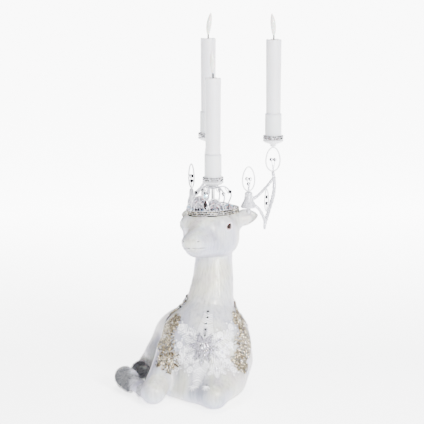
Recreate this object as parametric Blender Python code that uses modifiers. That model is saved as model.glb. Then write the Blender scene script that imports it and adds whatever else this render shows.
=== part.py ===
"""Lying reindeer that carries three LED candles on its crown and antlers.

Units are metres, +Z is up and -Y is the way the chest faces. The origin is on the surface that
the figure rests on, straight below the crown's middle. Right and left are the animal's own.
"""

import math

import bmesh
import bpy
import numpy as np
from mathutils import Matrix, Vector

# Driving dimensions
GAP = 0.0004  # clear space between touching pieces
FIT = 0.0007  # clear space round what is let into the casting
BASE_Z = 0.0020  # underside of the casting, above the felt
FELT_THICKNESS = 0.0015
HEAD_YAW = math.radians(-22)  # the head looks towards its own right
CROWN_YAW = math.radians(10)  # the crown is turned part of the way back
HEAD_ROLL = math.radians(-3)
HEAD_ROLL_HEIGHT = 0.235
CENTRE_CUP_Z = 0.3030
SIDE_CUP_Z = 0.3532
SIDE_CUP = (0.0512, 0.108)  # sideways and backwards from the crown's middle
ANTLER_ROOT = (0.044, 0.026)
LOOP_TURN = math.radians(43)  # the antler loops stand between sideways and backwards

CASTING_VOXEL = 0.003
CASTING_KEEP = 0.050  # share of faces that Decimate keeps
TURN_STEPS = 20

SLEEVE_OUTER, SLEEVE_INNER, SLEEVE_HEIGHT = 0.0121, 0.0112, 0.0375
BAND_OUTER, BAND_INNER, BAND_HEIGHT = 0.0151, 0.0125, 0.0066
CANDLE_FOOT = 0.0  # above the cup's floor
CANDLE_TOP = 0.1455  # above the cup's floor
CANDLE_RADIUS_TOP, CANDLE_RADIUS_FOOT, CANDLE_WALL = 0.0113, 0.0104, 0.0016
BATTERY_RADIUS, BATTERY_LENGTH = 0.00525, 0.0445
WICK_RADIUS, WICK_HEIGHT = 0.0013, 0.0058
FLAME_RADIUS, FLAME_HEIGHT = 0.0052, 0.0310

CROWN_INNER, CROWN_OUTER = 0.0352, 0.0372
CROWN_LOW, CROWN_HIGH = 0.2560, 0.2640
CROWN_BACK = 0.003  # the band's middle lies this far behind the candle's axis
CROWN_STRETCH = 1.07  # the band is longer than it is wide

EYE_RADIUS = 0.0042
EYE = (0.0340, -0.0275, 0.2430)

# Soft masses of the body: middle, radii, turn about Z in degrees, blend with the rest
BODY_MASSES = (
    ((-0.020, 0.045, 0.060), (0.049, 0.092, 0.053), 13, 0.030),  # ribs
    ((-0.006, -0.026, 0.070), (0.050, 0.050, 0.056), 0, 0.030),  # chest
    ((-0.048, -0.012, 0.066), (0.023, 0.038, 0.042), 0, 0.026),  # right shoulder
    ((0.029, -0.010, 0.060), (0.021, 0.038, 0.040), 0, 0.026),  # left shoulder
    ((-0.008, -0.058, 0.032), (0.046, 0.038, 0.030), 0, 0.020),  # between the forelegs
    ((-0.046, 0.122, 0.044), (0.044, 0.056, 0.042), 10, 0.034),  # rump
    ((-0.062, 0.096, 0.022), (0.042, 0.054, 0.034), 8, 0.014),  # right haunch
    ((-0.008, 0.108, 0.028), (0.036, 0.054, 0.034), 4, 0.014),  # left haunch
)

# Limbs as chains of x, y, z and radius, each with its blend
BODY_LIMBS = (
    (  # neck
        (
            (-0.010, -0.018, 0.092, 0.048),
            (-0.004, -0.012, 0.130, 0.0335),
            (0.000, -0.006, 0.162, 0.0290),
            (0.001, 0.000, 0.190, 0.0265),
            (0.002, 0.004, 0.215, 0.0260),
        ),
        0.022,
    ),
    (  # right foreleg, down to the knee
        (
            (-0.061, -0.022, 0.056, 0.020),
            (-0.072, -0.052, 0.036, 0.0175),
            (-0.082, -0.084, 0.0190, 0.0170),
        ),
        0.014,
    ),
    (  # right cannon, folded back beside the body
        (
            (-0.086, -0.078, 0.0155, 0.0135),
            (-0.106, -0.036, 0.0135, 0.0100),
            (-0.118, -0.014, 0.0150, 0.0100),
        ),
        0.006,
    ),
    (((-0.120, -0.010, 0.0180, 0.0140), (-0.127, 0.004, 0.0175, 0.0150)), 0.003),
    (  # left foreleg, down to the knee under the chest
        (
            (0.030, -0.024, 0.046, 0.022),
            (0.024, -0.066, 0.030, 0.0210),
            (0.002, -0.104, 0.0205, 0.0185),
        ),
        0.018,
    ),
    (  # left cannon, folded across under the chest
        (
            (0.000, -0.102, 0.0185, 0.0165),
            (-0.032, -0.076, 0.0155, 0.0135),
            (-0.058, -0.048, 0.0140, 0.0120),
        ),
        0.010,
    ),
    (  # right hind cannon, folded forward under the haunch
        (
            (-0.084, 0.146, 0.0170, 0.0150),
            (-0.100, 0.100, 0.0140, 0.0115),
            (-0.106, 0.064, 0.0125, 0.0100),
        ),
        0.006,
    ),
    (((-0.107, 0.056, 0.0145, 0.0120), (-0.104, 0.034, 0.0140, 0.0125)), 0.003),
    (  # left hind cannon
        (
            (0.014, 0.148, 0.0165, 0.0140),
            (0.032, 0.102, 0.0135, 0.0110),
            (0.037, 0.066, 0.0125, 0.0100),
        ),
        0.006,
    ),
    (((-0.064, 0.170, 0.054, 0.0110), (-0.072, 0.186, 0.044, 0.0070)), 0.008),
)

# The same for the head, in its own frame: x to the animal's left, y backwards
HEAD_MASSES = (
    ((0.000, 0.000, 0.2340), (0.0360, 0.041, 0.0335), 0, 0.010),  # skull
    ((0.000, -0.020, 0.2390), (0.0355, 0.0300, 0.0250), 0, 0.010),  # forehead
    ((0.0215, -0.010, 0.2170), (0.0150, 0.032, 0.0185), 0, 0.012),  # left cheek
    ((-0.0215, -0.010, 0.2170), (0.0150, 0.032, 0.0185), 0, 0.012),  # right cheek
    ((0.000, -0.028, 0.2120), (0.0235, 0.044, 0.0130), 0, 0.010),  # jaw
    ((0.000, -0.048, 0.2240), (0.0240, 0.0360, 0.0175), 0, 0.006),  # muzzle
    ((0.000, -0.0725, 0.2285), (0.0165, 0.0135, 0.0090), 0, 0.005),  # nose
    ((0.0270, -0.026, 0.2495), (0.0085, 0.0130, 0.0070), 0, 0.010),  # left brow
    ((-0.0270, -0.026, 0.2495), (0.0085, 0.0130, 0.0070), 0, 0.010),  # right brow
)
HEAD_LIMBS = (
    (((0.000, -0.012, 0.2410, 0.0210), (0.000, -0.060, 0.2300, 0.0120)), 0.010),  # bridge
    (((0.026, 0.016, 0.243, 0.012), (0.043, 0.0265, 0.2470, 0.0085)), 0.008),
    (((-0.026, 0.016, 0.243, 0.012), (-0.043, 0.0265, 0.2470, 0.0085)), 0.008),
)
HEAD_BLEND = 0.004

# Snowflakes on the casting: name, rough place, arm length, layer, colour
SNOWFLAKES = (
    ("flake_chest_silver", (-0.0115, -0.085, 0.083), 0.0210, 2, "silver_glitter"),
    ("flake_chest_lower", (-0.0150, -0.085, 0.049), 0.0175, 1, "silver_glitter"),
    ("flake_chest_right", (-0.0380, -0.080, 0.076), 0.0180, 1, "white_glitter"),
    ("flake_chest_left", (0.0150, -0.080, 0.074), 0.0180, 1, "white_glitter"),
    ("flake_chest_upper", (-0.0095, -0.070, 0.108), 0.0190, 1, "white_glitter"),
    ("flake_gold_right", (-0.0620, -0.045, 0.077), 0.0220, 2, "gold_glitter"),
    ("flake_gold_left", (0.0420, -0.050, 0.071), 0.0200, 2, "gold_glitter"),
    ("flake_shoulder_right", (-0.0700, -0.005, 0.101), 0.0200, 1, "silver_glitter"),
    ("flake_shoulder_left", (0.0500, -0.008, 0.094), 0.0180, 1, "gold_glitter"),
    ("flake_withers", (-0.0200, 0.060, 0.125), 0.0220, 1, "silver_glitter"),
)
FLAKE_THICKNESS = 0.0011
FLAKE_CLEAR = 0.0013  # first layer above the casting
FLAKE_LAYER = 0.0017

COLOURS = {
    "pearl_resin": ((0.86, 0.85, 0.88), 0.35, 0.0),
    "felt": ((0.75, 0.75, 0.74), 0.95, 0.0),
    "eye_glass": ((0.02, 0.015, 0.015), 0.05, 0.0),
    "rhinestone": ((0.75, 0.76, 0.80), 0.10, 0.6),
    "clear_gem": ((0.80, 0.83, 0.90), 0.05, 0.2),
    "white_metal": ((0.90, 0.90, 0.91), 0.35, 0.1),
    "bare_steel": ((0.60, 0.60, 0.62), 0.35, 1.0),
    "silver_glitter": ((0.72, 0.72, 0.73), 0.35, 0.7),
    "white_glitter": ((0.90, 0.91, 0.94), 0.45, 0.1),
    "gold_glitter": ((0.76, 0.70, 0.58), 0.35, 0.7),
    "wax": ((0.92, 0.91, 0.91), 0.55, 0.0),
    "flame_plastic": ((0.95, 0.94, 0.92), 0.30, 0.0),
    "wick": ((0.03, 0.03, 0.03), 0.80, 0.0),
    "white_plastic": ((0.88, 0.88, 0.88), 0.45, 0.0),
    "battery_wrap": ((0.20, 0.22, 0.26), 0.40, 0.3),
}


# ---------------------------------------------------------------- scene and materials


def clear_scene():
    for obj in list(bpy.data.objects):
        bpy.data.objects.remove(obj)


def collection(name):
    found = bpy.data.collections.get(name)
    if found is None:
        found = bpy.data.collections.new(name)
        bpy.context.scene.collection.children.link(found)
    return found


def material(name):
    found = bpy.data.materials.get(name)
    if found is None:
        colour, roughness, metallic = COLOURS[name]
        found = bpy.data.materials.new(name)
        found.use_nodes = True
        shader = found.node_tree.nodes["Principled BSDF"]
        shader.inputs["Base Color"].default_value = (*colour, 1)
        shader.inputs["Roughness"].default_value = roughness
        shader.inputs["Metallic"].default_value = metallic
    return found


def add_object(name, data, colour=None, cutter=False, parent=None):
    obj = bpy.data.objects.new(name, data)
    obj.parent = parent
    collection("cutters" if cutter else "reindeer_candelabra").objects.link(obj)
    if cutter:
        obj.hide_render = True
        obj.display_type = "WIRE"
    elif colour:
        data.materials.append(material(colour))
    return obj


def face_outwards(bm):
    bmesh.ops.recalc_face_normals(bm, faces=bm.faces)
    if bm.calc_volume(signed=True) < 0:
        bmesh.ops.reverse_faces(bm, faces=bm.faces)


def mesh_from(bm, name):
    mesh = bpy.data.meshes.new(name)
    face_outwards(bm)
    bm.to_mesh(mesh)
    bm.free()
    return mesh


def evaluated_mesh(obj):
    """The object's mesh after its modifiers, in world space, with caps welded."""
    bpy.context.view_layer.update()
    graph = bpy.context.evaluated_depsgraph_get()
    mesh = bpy.data.meshes.new_from_object(obj.evaluated_get(graph))
    mesh.transform(obj.matrix_world)
    bm = bmesh.new()
    bm.from_mesh(mesh)
    bmesh.ops.remove_doubles(bm, verts=bm.verts, dist=1e-5)
    face_outwards(bm)
    bm.to_mesh(mesh)
    bm.free()
    return mesh


def as_mesh_object(obj, cutter=False):
    """Replaces a curve or a modified object with its finished mesh."""
    name, mesh = obj.name, evaluated_mesh(obj)
    bpy.data.objects.remove(obj)
    return add_object(name, mesh, cutter=cutter)


def boolean(obj, other, operation):
    modifier = obj.modifiers.new(other.name, "BOOLEAN")
    modifier.operation = operation
    modifier.object = other


def round_shading(obj, degrees=35):
    obj.data.shade_smooth()
    obj.data.set_sharp_from_angle(angle=math.radians(degrees))


# ---------------------------------------------------------------- frames


def head_matrix(rolled=True):
    """From the head's frame to the object's. Candle holders stay upright, so they aren't rolled."""
    yaw = Matrix.Rotation(HEAD_YAW, 4, "Z")
    if not rolled:
        return yaw
    up = Matrix.Translation((0, 0, HEAD_ROLL_HEIGHT))
    return yaw @ up @ Matrix.Rotation(HEAD_ROLL, 4, "Y") @ up.inverted()


def crown_matrix():
    return head_matrix() @ Matrix.Rotation(CROWN_YAW, 4, "Z")


def antler_point(side, sideways, backwards, z):
    return head_matrix(rolled=False) @ Vector((side * sideways, backwards, z))


# ---------------------------------------------------------------- simple shapes


def turned(name, profile, colour, place=(0, 0, 0), steps=TURN_STEPS, closed=False, cutter=False,
           parent=None):
    """A profile of (radius, height) turned about Z. It runs down the outer side."""
    count = len(profile)
    edges = [(i, i + 1) for i in range(count - 1)]
    if closed:
        edges.append((count - 1, 0))
    mesh = bpy.data.meshes.new(name)
    mesh.from_pydata([(r, 0, z) for r, z in profile], edges, [])
    obj = add_object(name, mesh, colour, cutter, parent)
    obj.location = place
    screw = obj.modifiers.new("turn", "SCREW")
    screw.steps = screw.render_steps = steps
    screw.use_merge_vertices = True
    screw.merge_threshold = 1e-5
    return obj


def wire(name, points, radius, colour, cyclic=False, bevel_resolution=1, cutter=False, parent=None):
    """A round bar along points. radius may be one number or one for each point."""
    curve = bpy.data.curves.new(name, "CURVE")
    curve.dimensions = "3D"
    curve.bevel_depth = 1.0
    curve.bevel_resolution = bevel_resolution
    curve.use_fill_caps = True
    spline = curve.splines.new("POLY")
    spline.points.add(len(points) - 1)
    for i, (target, point) in enumerate(zip(spline.points, points)):
        target.co = (*point, 1)
        target.radius = radius[i] if hasattr(radius, "__len__") else radius
    spline.use_cyclic_u = cyclic
    return add_object(name, curve, colour, cutter, parent)


def smooth_path(corners, steps=4):
    """Points of a Catmull-Rom curve through the corners."""
    ends = [2 * corners[0] - corners[1], *corners, 2 * corners[-1] - corners[-2]]
    path = []
    for a, b, c, d in zip(ends, ends[1:], ends[2:], ends[3:]):
        for i in range(steps):
            t = i / steps
            path.append(
                0.5 * (2 * b + (c - a) * t + (2 * a - 5 * b + 4 * c - d) * t**2
                       + (3 * b - 3 * c + d - a) * t**3)
            )
    return path + [corners[-1]]


def sphere_mesh(name, radius, segments=16, rings=8):
    bm = bmesh.new()
    bmesh.ops.create_uvsphere(bm, u_segments=segments, v_segments=rings, radius=radius)
    return mesh_from(bm, name)


# ---------------------------------------------------------------- the casting's soft surface


def smooth_min(a, b, blend):
    near = np.maximum(blend - np.abs(a - b), 0) / blend
    return np.minimum(a, b) - near * near * blend / 4


def turned_axes(degrees):
    c, s = math.cos(math.radians(degrees)), math.sin(math.radians(degrees))
    return np.array(((c, -s, 0), (s, c, 0), (0, 0, 1)))


def mass_distance(points, middle, radii, degrees):
    local = (points - np.array(middle)) @ turned_axes(degrees)
    radii = np.array(radii)
    outwards = np.linalg.norm(local / radii, axis=1)
    slope = np.linalg.norm(local / radii**2, axis=1) + 1e-9
    return outwards * (outwards - 1) / slope


def limb_distance(points, chain):
    nearest = np.full(len(points), 1e3)
    for start, end in zip(chain, chain[1:]):
        a, b = np.array(start[:3]), np.array(end[:3])
        along = b - a
        share = np.clip((points - a) @ along / (along @ along), 0, 1)
        radius = start[3] + (end[3] - start[3]) * share
        reach = np.linalg.norm(points - a - share[:, None] * along, axis=1)
        nearest = np.minimum(nearest, reach - radius)
    return nearest


def blended(points, masses, limbs):
    total = np.full(len(points), 1e3)
    for middle, radii, degrees, blend in masses:
        total = smooth_min(total, mass_distance(points, middle, radii, degrees), blend)
    for chain, blend in limbs:
        total = smooth_min(total, limb_distance(points, chain), blend)
    return total


def casting_distance(points):
    """Rough distance of points from the casting's skin, negative inside."""
    to_head = np.array(head_matrix().inverted())
    in_head = points @ to_head[:3, :3].T + to_head[:3, 3]
    body = blended(points, BODY_MASSES, BODY_LIMBS)
    head = blended(in_head, HEAD_MASSES, HEAD_LIMBS)
    return smooth_min(body, head, HEAD_BLEND)


def onto_casting(points, above=0.0, rounds=6):
    """Moves points to where they stand this far above the casting's skin."""
    points = np.array(points, float).reshape(-1, 3)
    step = 1e-4
    for _ in range(rounds):
        here = casting_distance(points)
        slope = np.stack(
            [(casting_distance(points + step * axis) - here) / step for axis in np.eye(3)], axis=1
        )
        slope /= np.maximum((slope**2).sum(axis=1, keepdims=True), 0.25)
        points = points - np.clip(here - above, -0.003, 0.003)[:, None] * slope
    return points


def add_ball(bm, middle, radii, degrees=0):
    grow = Matrix.Diagonal((*radii, 1))
    turn = Matrix.Rotation(math.radians(degrees), 4, "Z")
    place = Matrix.Translation(middle) @ turn @ grow
    bmesh.ops.create_uvsphere(bm, u_segments=24, v_segments=16, radius=1, matrix=place)


def add_limb(bm, chain):
    for start, end in zip(chain, chain[1:]):
        a, b = Vector(start[:3]), Vector(end[:3])
        turn = (b - a).to_track_quat("Z", "Y").to_matrix().to_4x4()
        bmesh.ops.create_cone(
            bm, cap_ends=True, segments=16, radius1=start[3], radius2=end[3],
            depth=(b - a).length, matrix=Matrix.Translation((a + b) / 2) @ turn,
        )
    for x, y, z, radius in chain:
        add_ball(bm, (x, y, z), (radius,) * 3)


def casting_blank():
    """Balls and cones, made one skin by Remesh and then moved onto the blended surface."""
    head = bmesh.new()
    for middle, radii, degrees, _ in HEAD_MASSES:
        add_ball(head, middle, radii, degrees)
    for chain, _ in HEAD_LIMBS:
        add_limb(head, chain)
    bmesh.ops.transform(head, matrix=head_matrix(), verts=head.verts)
    head_mesh = mesh_from(head, "head_blank")
    bm = bmesh.new()
    bm.from_mesh(head_mesh)
    for middle, radii, degrees, _ in BODY_MASSES:
        add_ball(bm, middle, radii, degrees)
    for chain, _ in BODY_LIMBS:
        add_limb(bm, chain)
    obj = add_object("body_casting", mesh_from(bm, "body_blank"), "pearl_resin")
    remesh = obj.modifiers.new("one_skin", "REMESH")
    remesh.mode = "VOXEL"
    remesh.voxel_size = CASTING_VOXEL
    obj = as_mesh_object(obj)
    obj.data.materials.append(material("pearl_resin"))
    flat = np.empty(len(obj.data.vertices) * 3, np.float32)
    obj.data.vertices.foreach_get("co", flat)
    moved = onto_casting(flat.reshape(-1, 3))
    obj.data.vertices.foreach_set("co", moved.astype(np.float32).ravel())
    return obj


# ---------------------------------------------------------------- the casting


def ear(side):
    """A cupped leaf, thick at the root, that stands out of the head behind the eye."""
    root, tip = Vector((0.026, 0.012, 0.2425)), Vector((0.054, 0.030, 0.2515))
    width, thickness, cup = 0.0105, 0.0032, 0.0035
    along = tip - root
    up = Vector((-0.25, 0.0, 1.0)).normalized()
    out = along.cross(up).normalized()
    rows, columns = 8, 6
    bm = bmesh.new()
    grid = []
    for i in range(rows + 1):
        t = i / rows
        half = width * (0.55 + 1.45 * t) * (1 - t) ** 0.55 * 1.05 + 0.0012
        row = []
        for j in range(columns + 1):
            v = 2 * j / columns - 1
            bend = cup * (1 - v * v) * math.sin(math.pi * min(1, 0.15 + t))
            row.append(root + along * t + up * half * v + out * bend)
        grid.append(row)
    verts = [[bm.verts.new((side * p.x, p.y, p.z)) for p in row] for row in grid]
    for low, high in zip(verts, verts[1:]):
        for a, b, c, d in zip(low, low[1:], high[1:], high):
            bm.faces.new((a, b, c, d))
    bmesh.ops.transform(bm, matrix=head_matrix(), verts=bm.verts)
    obj = add_object(f"ear_{'left' if side > 0 else 'right'}", mesh_from(bm, "ear"), cutter=True)
    shell = obj.modifiers.new("thickness", "SOLIDIFY")
    shell.thickness = thickness
    shell.offset = 0
    return as_mesh_object(obj, cutter=True)


def cavity():
    """The slush-cast hollow: belly and neck, open through the underside."""
    bm = bmesh.new()
    add_ball(bm, (-0.016, 0.022, 0.050), (0.026, 0.066, 0.040), 13)
    add_limb(bm, ((-0.010, -0.012, 0.085, 0.026), (0.000, -0.004, 0.160, 0.017)))
    add_limb(bm, ((0.000, -0.004, 0.160, 0.017), (0.002, 0.002, 0.205, 0.014)))
    add_limb(bm, ((-0.018, 0.030, 0.030, 0.020), (-0.018, 0.030, -0.030, 0.020)))
    obj = add_object("cavity_blank", mesh_from(bm, "cavity"), cutter=True)
    remesh = obj.modifiers.new("one_skin", "REMESH")
    remesh.mode = "VOXEL"
    remesh.voxel_size = 0.008
    return as_mesh_object(obj, cutter=True)


def neighbours(vert):
    return {edge.other_vert(vert) for edge in vert.link_edges}


def close_short_edge(bm, limit):
    """Closes one edge under the limit, where the skin stays a skin. False when there is none left."""
    for edge in sorted(bm.edges, key=lambda e: e.calc_length()):
        if edge.calc_length() > limit:
            return False
        a, b = edge.verts
        if len(neighbours(a) & neighbours(b)) == 2:
            bmesh.ops.weld_verts(bm, targetmap={b: a})
            return True
    return False


def turn_flat_face(bm, limit, done):
    """Swaps the long side of one face that is thinner than the limit. False when there is none left."""
    for face in bm.faces:
        side = max(face.edges, key=lambda e: e.calc_length())
        if side in done or 2 * face.calc_area() > limit * side.calc_length():
            continue
        ends = [v for f in side.link_faces for v in f.verts if v not in side.verts]
        if len(ends) != 2 or ends[1] in neighbours(ends[0]):
            continue
        turned_edge = bmesh.utils.edge_rotate(side, True)
        if turned_edge:
            done.add(turned_edge)
            return True
    return False


def drop_slivers(mesh, limit=5e-5):
    """Closes the needle-thin faces that the cuts leave."""
    bm = bmesh.new()
    bm.from_mesh(mesh)
    bmesh.ops.triangulate(bm, faces=bm.faces)
    for _ in range(3):
        while close_short_edge(bm, limit):
            pass
        done = set()
        while turn_flat_face(bm, limit / 2, done):
            pass
    bm.to_mesh(mesh)
    bm.free()


def peg_cutter(name, x, y, low, high, radius):
    profile = [(0, high), (radius, high), (radius, low), (0, low)]
    cutter = turned(name, profile, None, (x, y, 0), steps=12, cutter=True)
    cutter.rotation_euler.z = PEG_TURN
    return cutter


def body_casting():
    obj = casting_blank()
    thin = obj.modifiers.new("fewer_faces", "DECIMATE")
    thin.ratio = CASTING_KEEP
    bm = bmesh.new()
    under = Matrix.Translation((-0.03, 0.03, BASE_Z - 0.05)) @ Matrix.Diagonal((0.4, 0.5, 0.1, 1))
    bmesh.ops.create_cube(bm, size=1, matrix=under)
    boolean(obj, add_object("ground", mesh_from(bm, "ground"), cutter=True), "DIFFERENCE")
    for side in (1, -1):
        boolean(obj, ear(side), "UNION")
    boolean(obj, cavity(), "DIFFERENCE")
    for side in (1, -1):
        word = "left" if side > 0 else "right"
        place = antler_point(side, *ANTLER_ROOT, 0)
        peg = peg_cutter(f"peg_hole_{word}", place.x, place.y, 0.2430 - FIT, 0.27, PEG_RADIUS + FIT)
        boolean(obj, peg, "DIFFERENCE")
        socket = add_object(f"eye_socket_{word}", sphere_mesh("socket", EYE_RADIUS + FIT), cutter=True)
        socket.matrix_world = head_matrix() @ Matrix.Translation((side * EYE[0], *EYE[1:]))
        boolean(obj, socket, "DIFFERENCE")
    seat = [
        (CROWN_OUTER + 0.0020, CROWN_HIGH + FIT), (CROWN_OUTER + 0.0020, CROWN_LOW - FIT),
        (CROWN_INNER - FIT, CROWN_LOW - FIT), (CROWN_INNER - FIT, CROWN_HIGH + FIT),
    ]
    boolean(obj, crown_ring("crown_seat", seat, None, cutter=True), "DIFFERENCE")
    rod = peg_cutter("rod_hole", 0, 0, ROD_LOW - FIT, 0.29, ROD_RADIUS + FIT)
    boolean(obj, rod, "DIFFERENCE")
    obj = as_mesh_object(obj)
    obj.data.materials.append(material("pearl_resin"))
    drop_slivers(obj.data)


def base_felt():
    """An oval pad glued under the casting, over its pouring hole."""
    profile = [(0, FELT_THICKNESS), (0.040, FELT_THICKNESS), (0.040, 0), (0, 0)]
    obj = turned("base_felt", profile, "felt", steps=32)
    obj = as_mesh_object(obj)
    obj.data.materials.append(material("felt"))
    stretch = Matrix.Diagonal((1.0, 2.0, 1.0, 1.0))
    place = Matrix.Translation((-0.022, 0.035, 0)) @ Matrix.Rotation(math.radians(13), 4, "Z")
    obj.data.transform(place @ stretch)


def eyes():
    for side in (1, -1):
        name = f"eye_{'left' if side > 0 else 'right'}"
        obj = add_object(name, sphere_mesh(name, EYE_RADIUS), "eye_glass")
        obj.matrix_world = head_matrix() @ Matrix.Translation((side * EYE[0], *EYE[1:]))
        round_shading(obj, 60)


# ---------------------------------------------------------------- crown

TIARA_HALF_ANGLE = math.radians(44)
TIARA_PEAK = 0.0215
TIARA_THICKNESS = 0.0014


def crown_point(angle, radius, z):
    """A point on the band's oval. Angle 0 is its front."""
    return Vector((radius * math.sin(angle), CROWN_BACK - CROWN_STRETCH * radius * math.cos(angle), z))


def crown_ring(name, profile, colour, cutter=False):
    """An oval ring level with the crown."""
    obj = as_mesh_object(turned(name, profile, None, steps=40, closed=True, cutter=True), cutter)
    if colour:
        obj.data.materials.append(material(colour))
    place = Matrix.Translation((0, CROWN_BACK, 0)) @ Matrix.Diagonal((1, CROWN_STRETCH, 1, 1))
    obj.data.transform(crown_matrix() @ place)
    return obj


def crown_band():
    profile = [
        (CROWN_OUTER, CROWN_HIGH), (CROWN_OUTER, CROWN_LOW),
        (CROWN_INNER, CROWN_LOW), (CROWN_INNER, CROWN_HIGH),
    ]
    crown_ring("crown_band", profile, "rhinestone")


def tiara_height(share):
    """Height of the tiara's edge above the band: a tall middle arch and two low side arches."""
    middle = TIARA_PEAK * max(0.0, 1 - (share / 0.62) ** 2) ** 0.8
    side = 0.0075 * max(0.0, 1 - ((abs(share) - 0.74) / 0.26) ** 2) ** 0.5
    return max(middle, side, 0.0022)


def tiara():
    columns = 28
    middle_radius = (CROWN_INNER + CROWN_OUTER) / 2
    bm = bmesh.new()
    rows = []
    for i in range(columns + 1):
        share = 2 * i / columns - 1
        angle = share * TIARA_HALF_ANGLE
        low, high = CROWN_HIGH + GAP, CROWN_HIGH + GAP + tiara_height(share)
        heights = (low, (low + high) / 2, high)
        rows.append([bm.verts.new(crown_point(angle, middle_radius, z)) for z in heights])
    for left, right in zip(rows, rows[1:]):
        for a, b, c, d in zip(left, right, right[1:], left[1:]):
            bm.faces.new((a, b, c, d))
    bmesh.ops.transform(bm, matrix=crown_matrix(), verts=bm.verts)
    obj = add_object("tiara", mesh_from(bm, "tiara"), "rhinestone")
    shell = obj.modifiers.new("thickness", "SOLIDIFY")
    shell.thickness = TIARA_THICKNESS
    shell.offset = 0


def tiara_gems():
    """A pear-shaped stone with a round one over it, standing in front of the tiara."""
    front = (CROWN_INNER + CROWN_OUTER) / 2 + TIARA_THICKNESS / 2 + 0.0020
    bm = bmesh.new()
    outline = []
    steps = 14
    for i in range(steps):
        turn = 2 * math.pi * i / steps
        width = 0.0036 * math.sin(turn) * (1 if math.cos(turn) < 0 else 1 - 0.45 * math.cos(turn))
        outline.append((width, 0.0066 * math.cos(turn)))
    rings = []
    for depth, share in ((0.0000, 0.80), (0.0014, 1.0), (0.0030, 0.55)):
        rings.append([bm.verts.new((x * share, -depth, z * share)) for x, z in outline])
    bm.faces.new(rings[0])
    bm.faces.new(rings[-1])
    for low, high in zip(rings, rings[1:]):
        for i in range(steps):
            j = (i + 1) % steps
            bm.faces.new((low[i], low[j], high[j], high[i]))
    drop = add_object("tiara_drop_gem", mesh_from(bm, "drop"), "clear_gem")
    drop.matrix_world = crown_matrix() @ Matrix.Translation(crown_point(0, front, 0.2735))
    profile = [(0, 0.0021), (0.0018, 0.0021), (0.0033, 0.0), (0.0026, -0.0010), (0, -0.0010)]
    gem = turned("tiara_round_gem", profile, "clear_gem", steps=12)
    facing = Matrix.Rotation(math.pi / 2, 4, "X")
    gem.matrix_world = crown_matrix() @ Matrix.Translation(crown_point(0, front, 0.2860)) @ facing


# ---------------------------------------------------------------- candle holders

ROD_RADIUS, ROD_LOW = 0.0025, 0.2580
PEG_RADIUS = 0.0030
PEG_TURN = math.radians(11)
RIB_RADIUS, RIBS = 0.0010, 6
CUP_DEPTH = 0.0105


def cup_parts(word, x, y, floor):
    """Saucer with a neck, its band of stones, and the sleeve that takes the candle."""
    cup = [
        (0, -GAP), (0.0146, -GAP), (0.0150, -0.0015), (0.0125, -0.0045), (0.0060, -0.0068),
        (0.0036, -0.0085), (0.0036, -CUP_DEPTH), (0, -CUP_DEPTH),
    ]
    round_shading(turned(f"cup_{word}", cup, "white_metal", (x, y, floor)))
    band = [(BAND_OUTER, BAND_HEIGHT), (BAND_OUTER, 0), (BAND_INNER, 0), (BAND_INNER, BAND_HEIGHT)]
    turned(f"cup_stones_{word}", band, "rhinestone", (x, y, floor), closed=True)
    sleeve = [
        (SLEEVE_OUTER, SLEEVE_HEIGHT), (SLEEVE_OUTER, 0), (SLEEVE_INNER, 0),
        (SLEEVE_INNER, SLEEVE_HEIGHT),
    ]
    round_shading(turned(f"sleeve_{word}", sleeve, "wax", (x, y, floor), closed=True))


def joined_wires(name, pieces, colour):
    """One welded piece out of overlapping bars."""
    first, *others = [as_mesh_object(piece, cutter=True) for piece in pieces]
    for other in others:
        boolean(first, other, "UNION")
    obj = as_mesh_object(first)
    obj.name = name
    obj.data.materials.append(material(colour))
    round_shading(obj, 50)
    return obj


def circle(radius, z, count):
    turns = [2 * math.pi * i / count for i in range(count)]
    return [Vector((radius * math.cos(t), radius * math.sin(t), z)) for t in turns]


def crown_cage():
    """Six bowed ribs between a ring under the centre cup and a foot ring on the head."""
    top_z, foot_z = CENTRE_CUP_Z - 0.0095, 0.2695
    rings = [
        wire("cage_foot", circle(0.0215, foot_z, 18), 0.0012, None, cyclic=True),
        wire("cage_top", circle(0.0058, top_z, 14), 0.0012, None, cyclic=True),
    ]
    side = [
        (0.0056, top_z), (0.0160, top_z + 0.0010), (0.0235, top_z - 0.0050),
        (0.0260, top_z - 0.0125), (0.0215, foot_z),
    ]
    ribs = []
    for i in range(RIBS):
        turn = Matrix.Rotation(2 * math.pi * (i + 0.5) / RIBS + HEAD_YAW, 3, "Z")
        corners = [turn @ Vector((r, 0, z)) for r, z in side]
        ribs.append(wire(f"cage_rib_{i}", smooth_path(corners, 2), RIB_RADIUS, None))
    joined_wires("crown_cage", rings + ribs, "white_metal")


def stem_rod():
    high = CENTRE_CUP_Z - CUP_DEPTH - GAP
    profile = [(0, high), (ROD_RADIUS, high), (ROD_RADIUS, ROD_LOW), (0, ROD_LOW)]
    turned("stem_rod", profile, "bare_steel", steps=12)


# Antler bars as sideways and backwards shares of the way from root to cup, height and radius
POST_TOP = 0.3050
ANTLER_POST = (
    (0.66, 0.2240, 0.0010), (0.68, 0.2330, 0.0020), (0.84, 0.2500, 0.0023),
    (1.03, 0.2720, 0.0022), (1.06, 0.2900, 0.0021), (1.00, POST_TOP, 0.0018),
)
ANTLER_UPPER = (
    (0.03, 0.2740, 0.0022), (0.34, 0.2760, 0.0017), (0.70, 0.2850, 0.0016), (1.03, 0.2960, 0.0017),
)
ANTLER_LOWER = (
    (0.00, 0.2660, 0.0022), (0.22, 0.2640, 0.0019), (0.47, 0.2540, 0.0017), (0.69, 0.2345, 0.0018),
)


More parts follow.
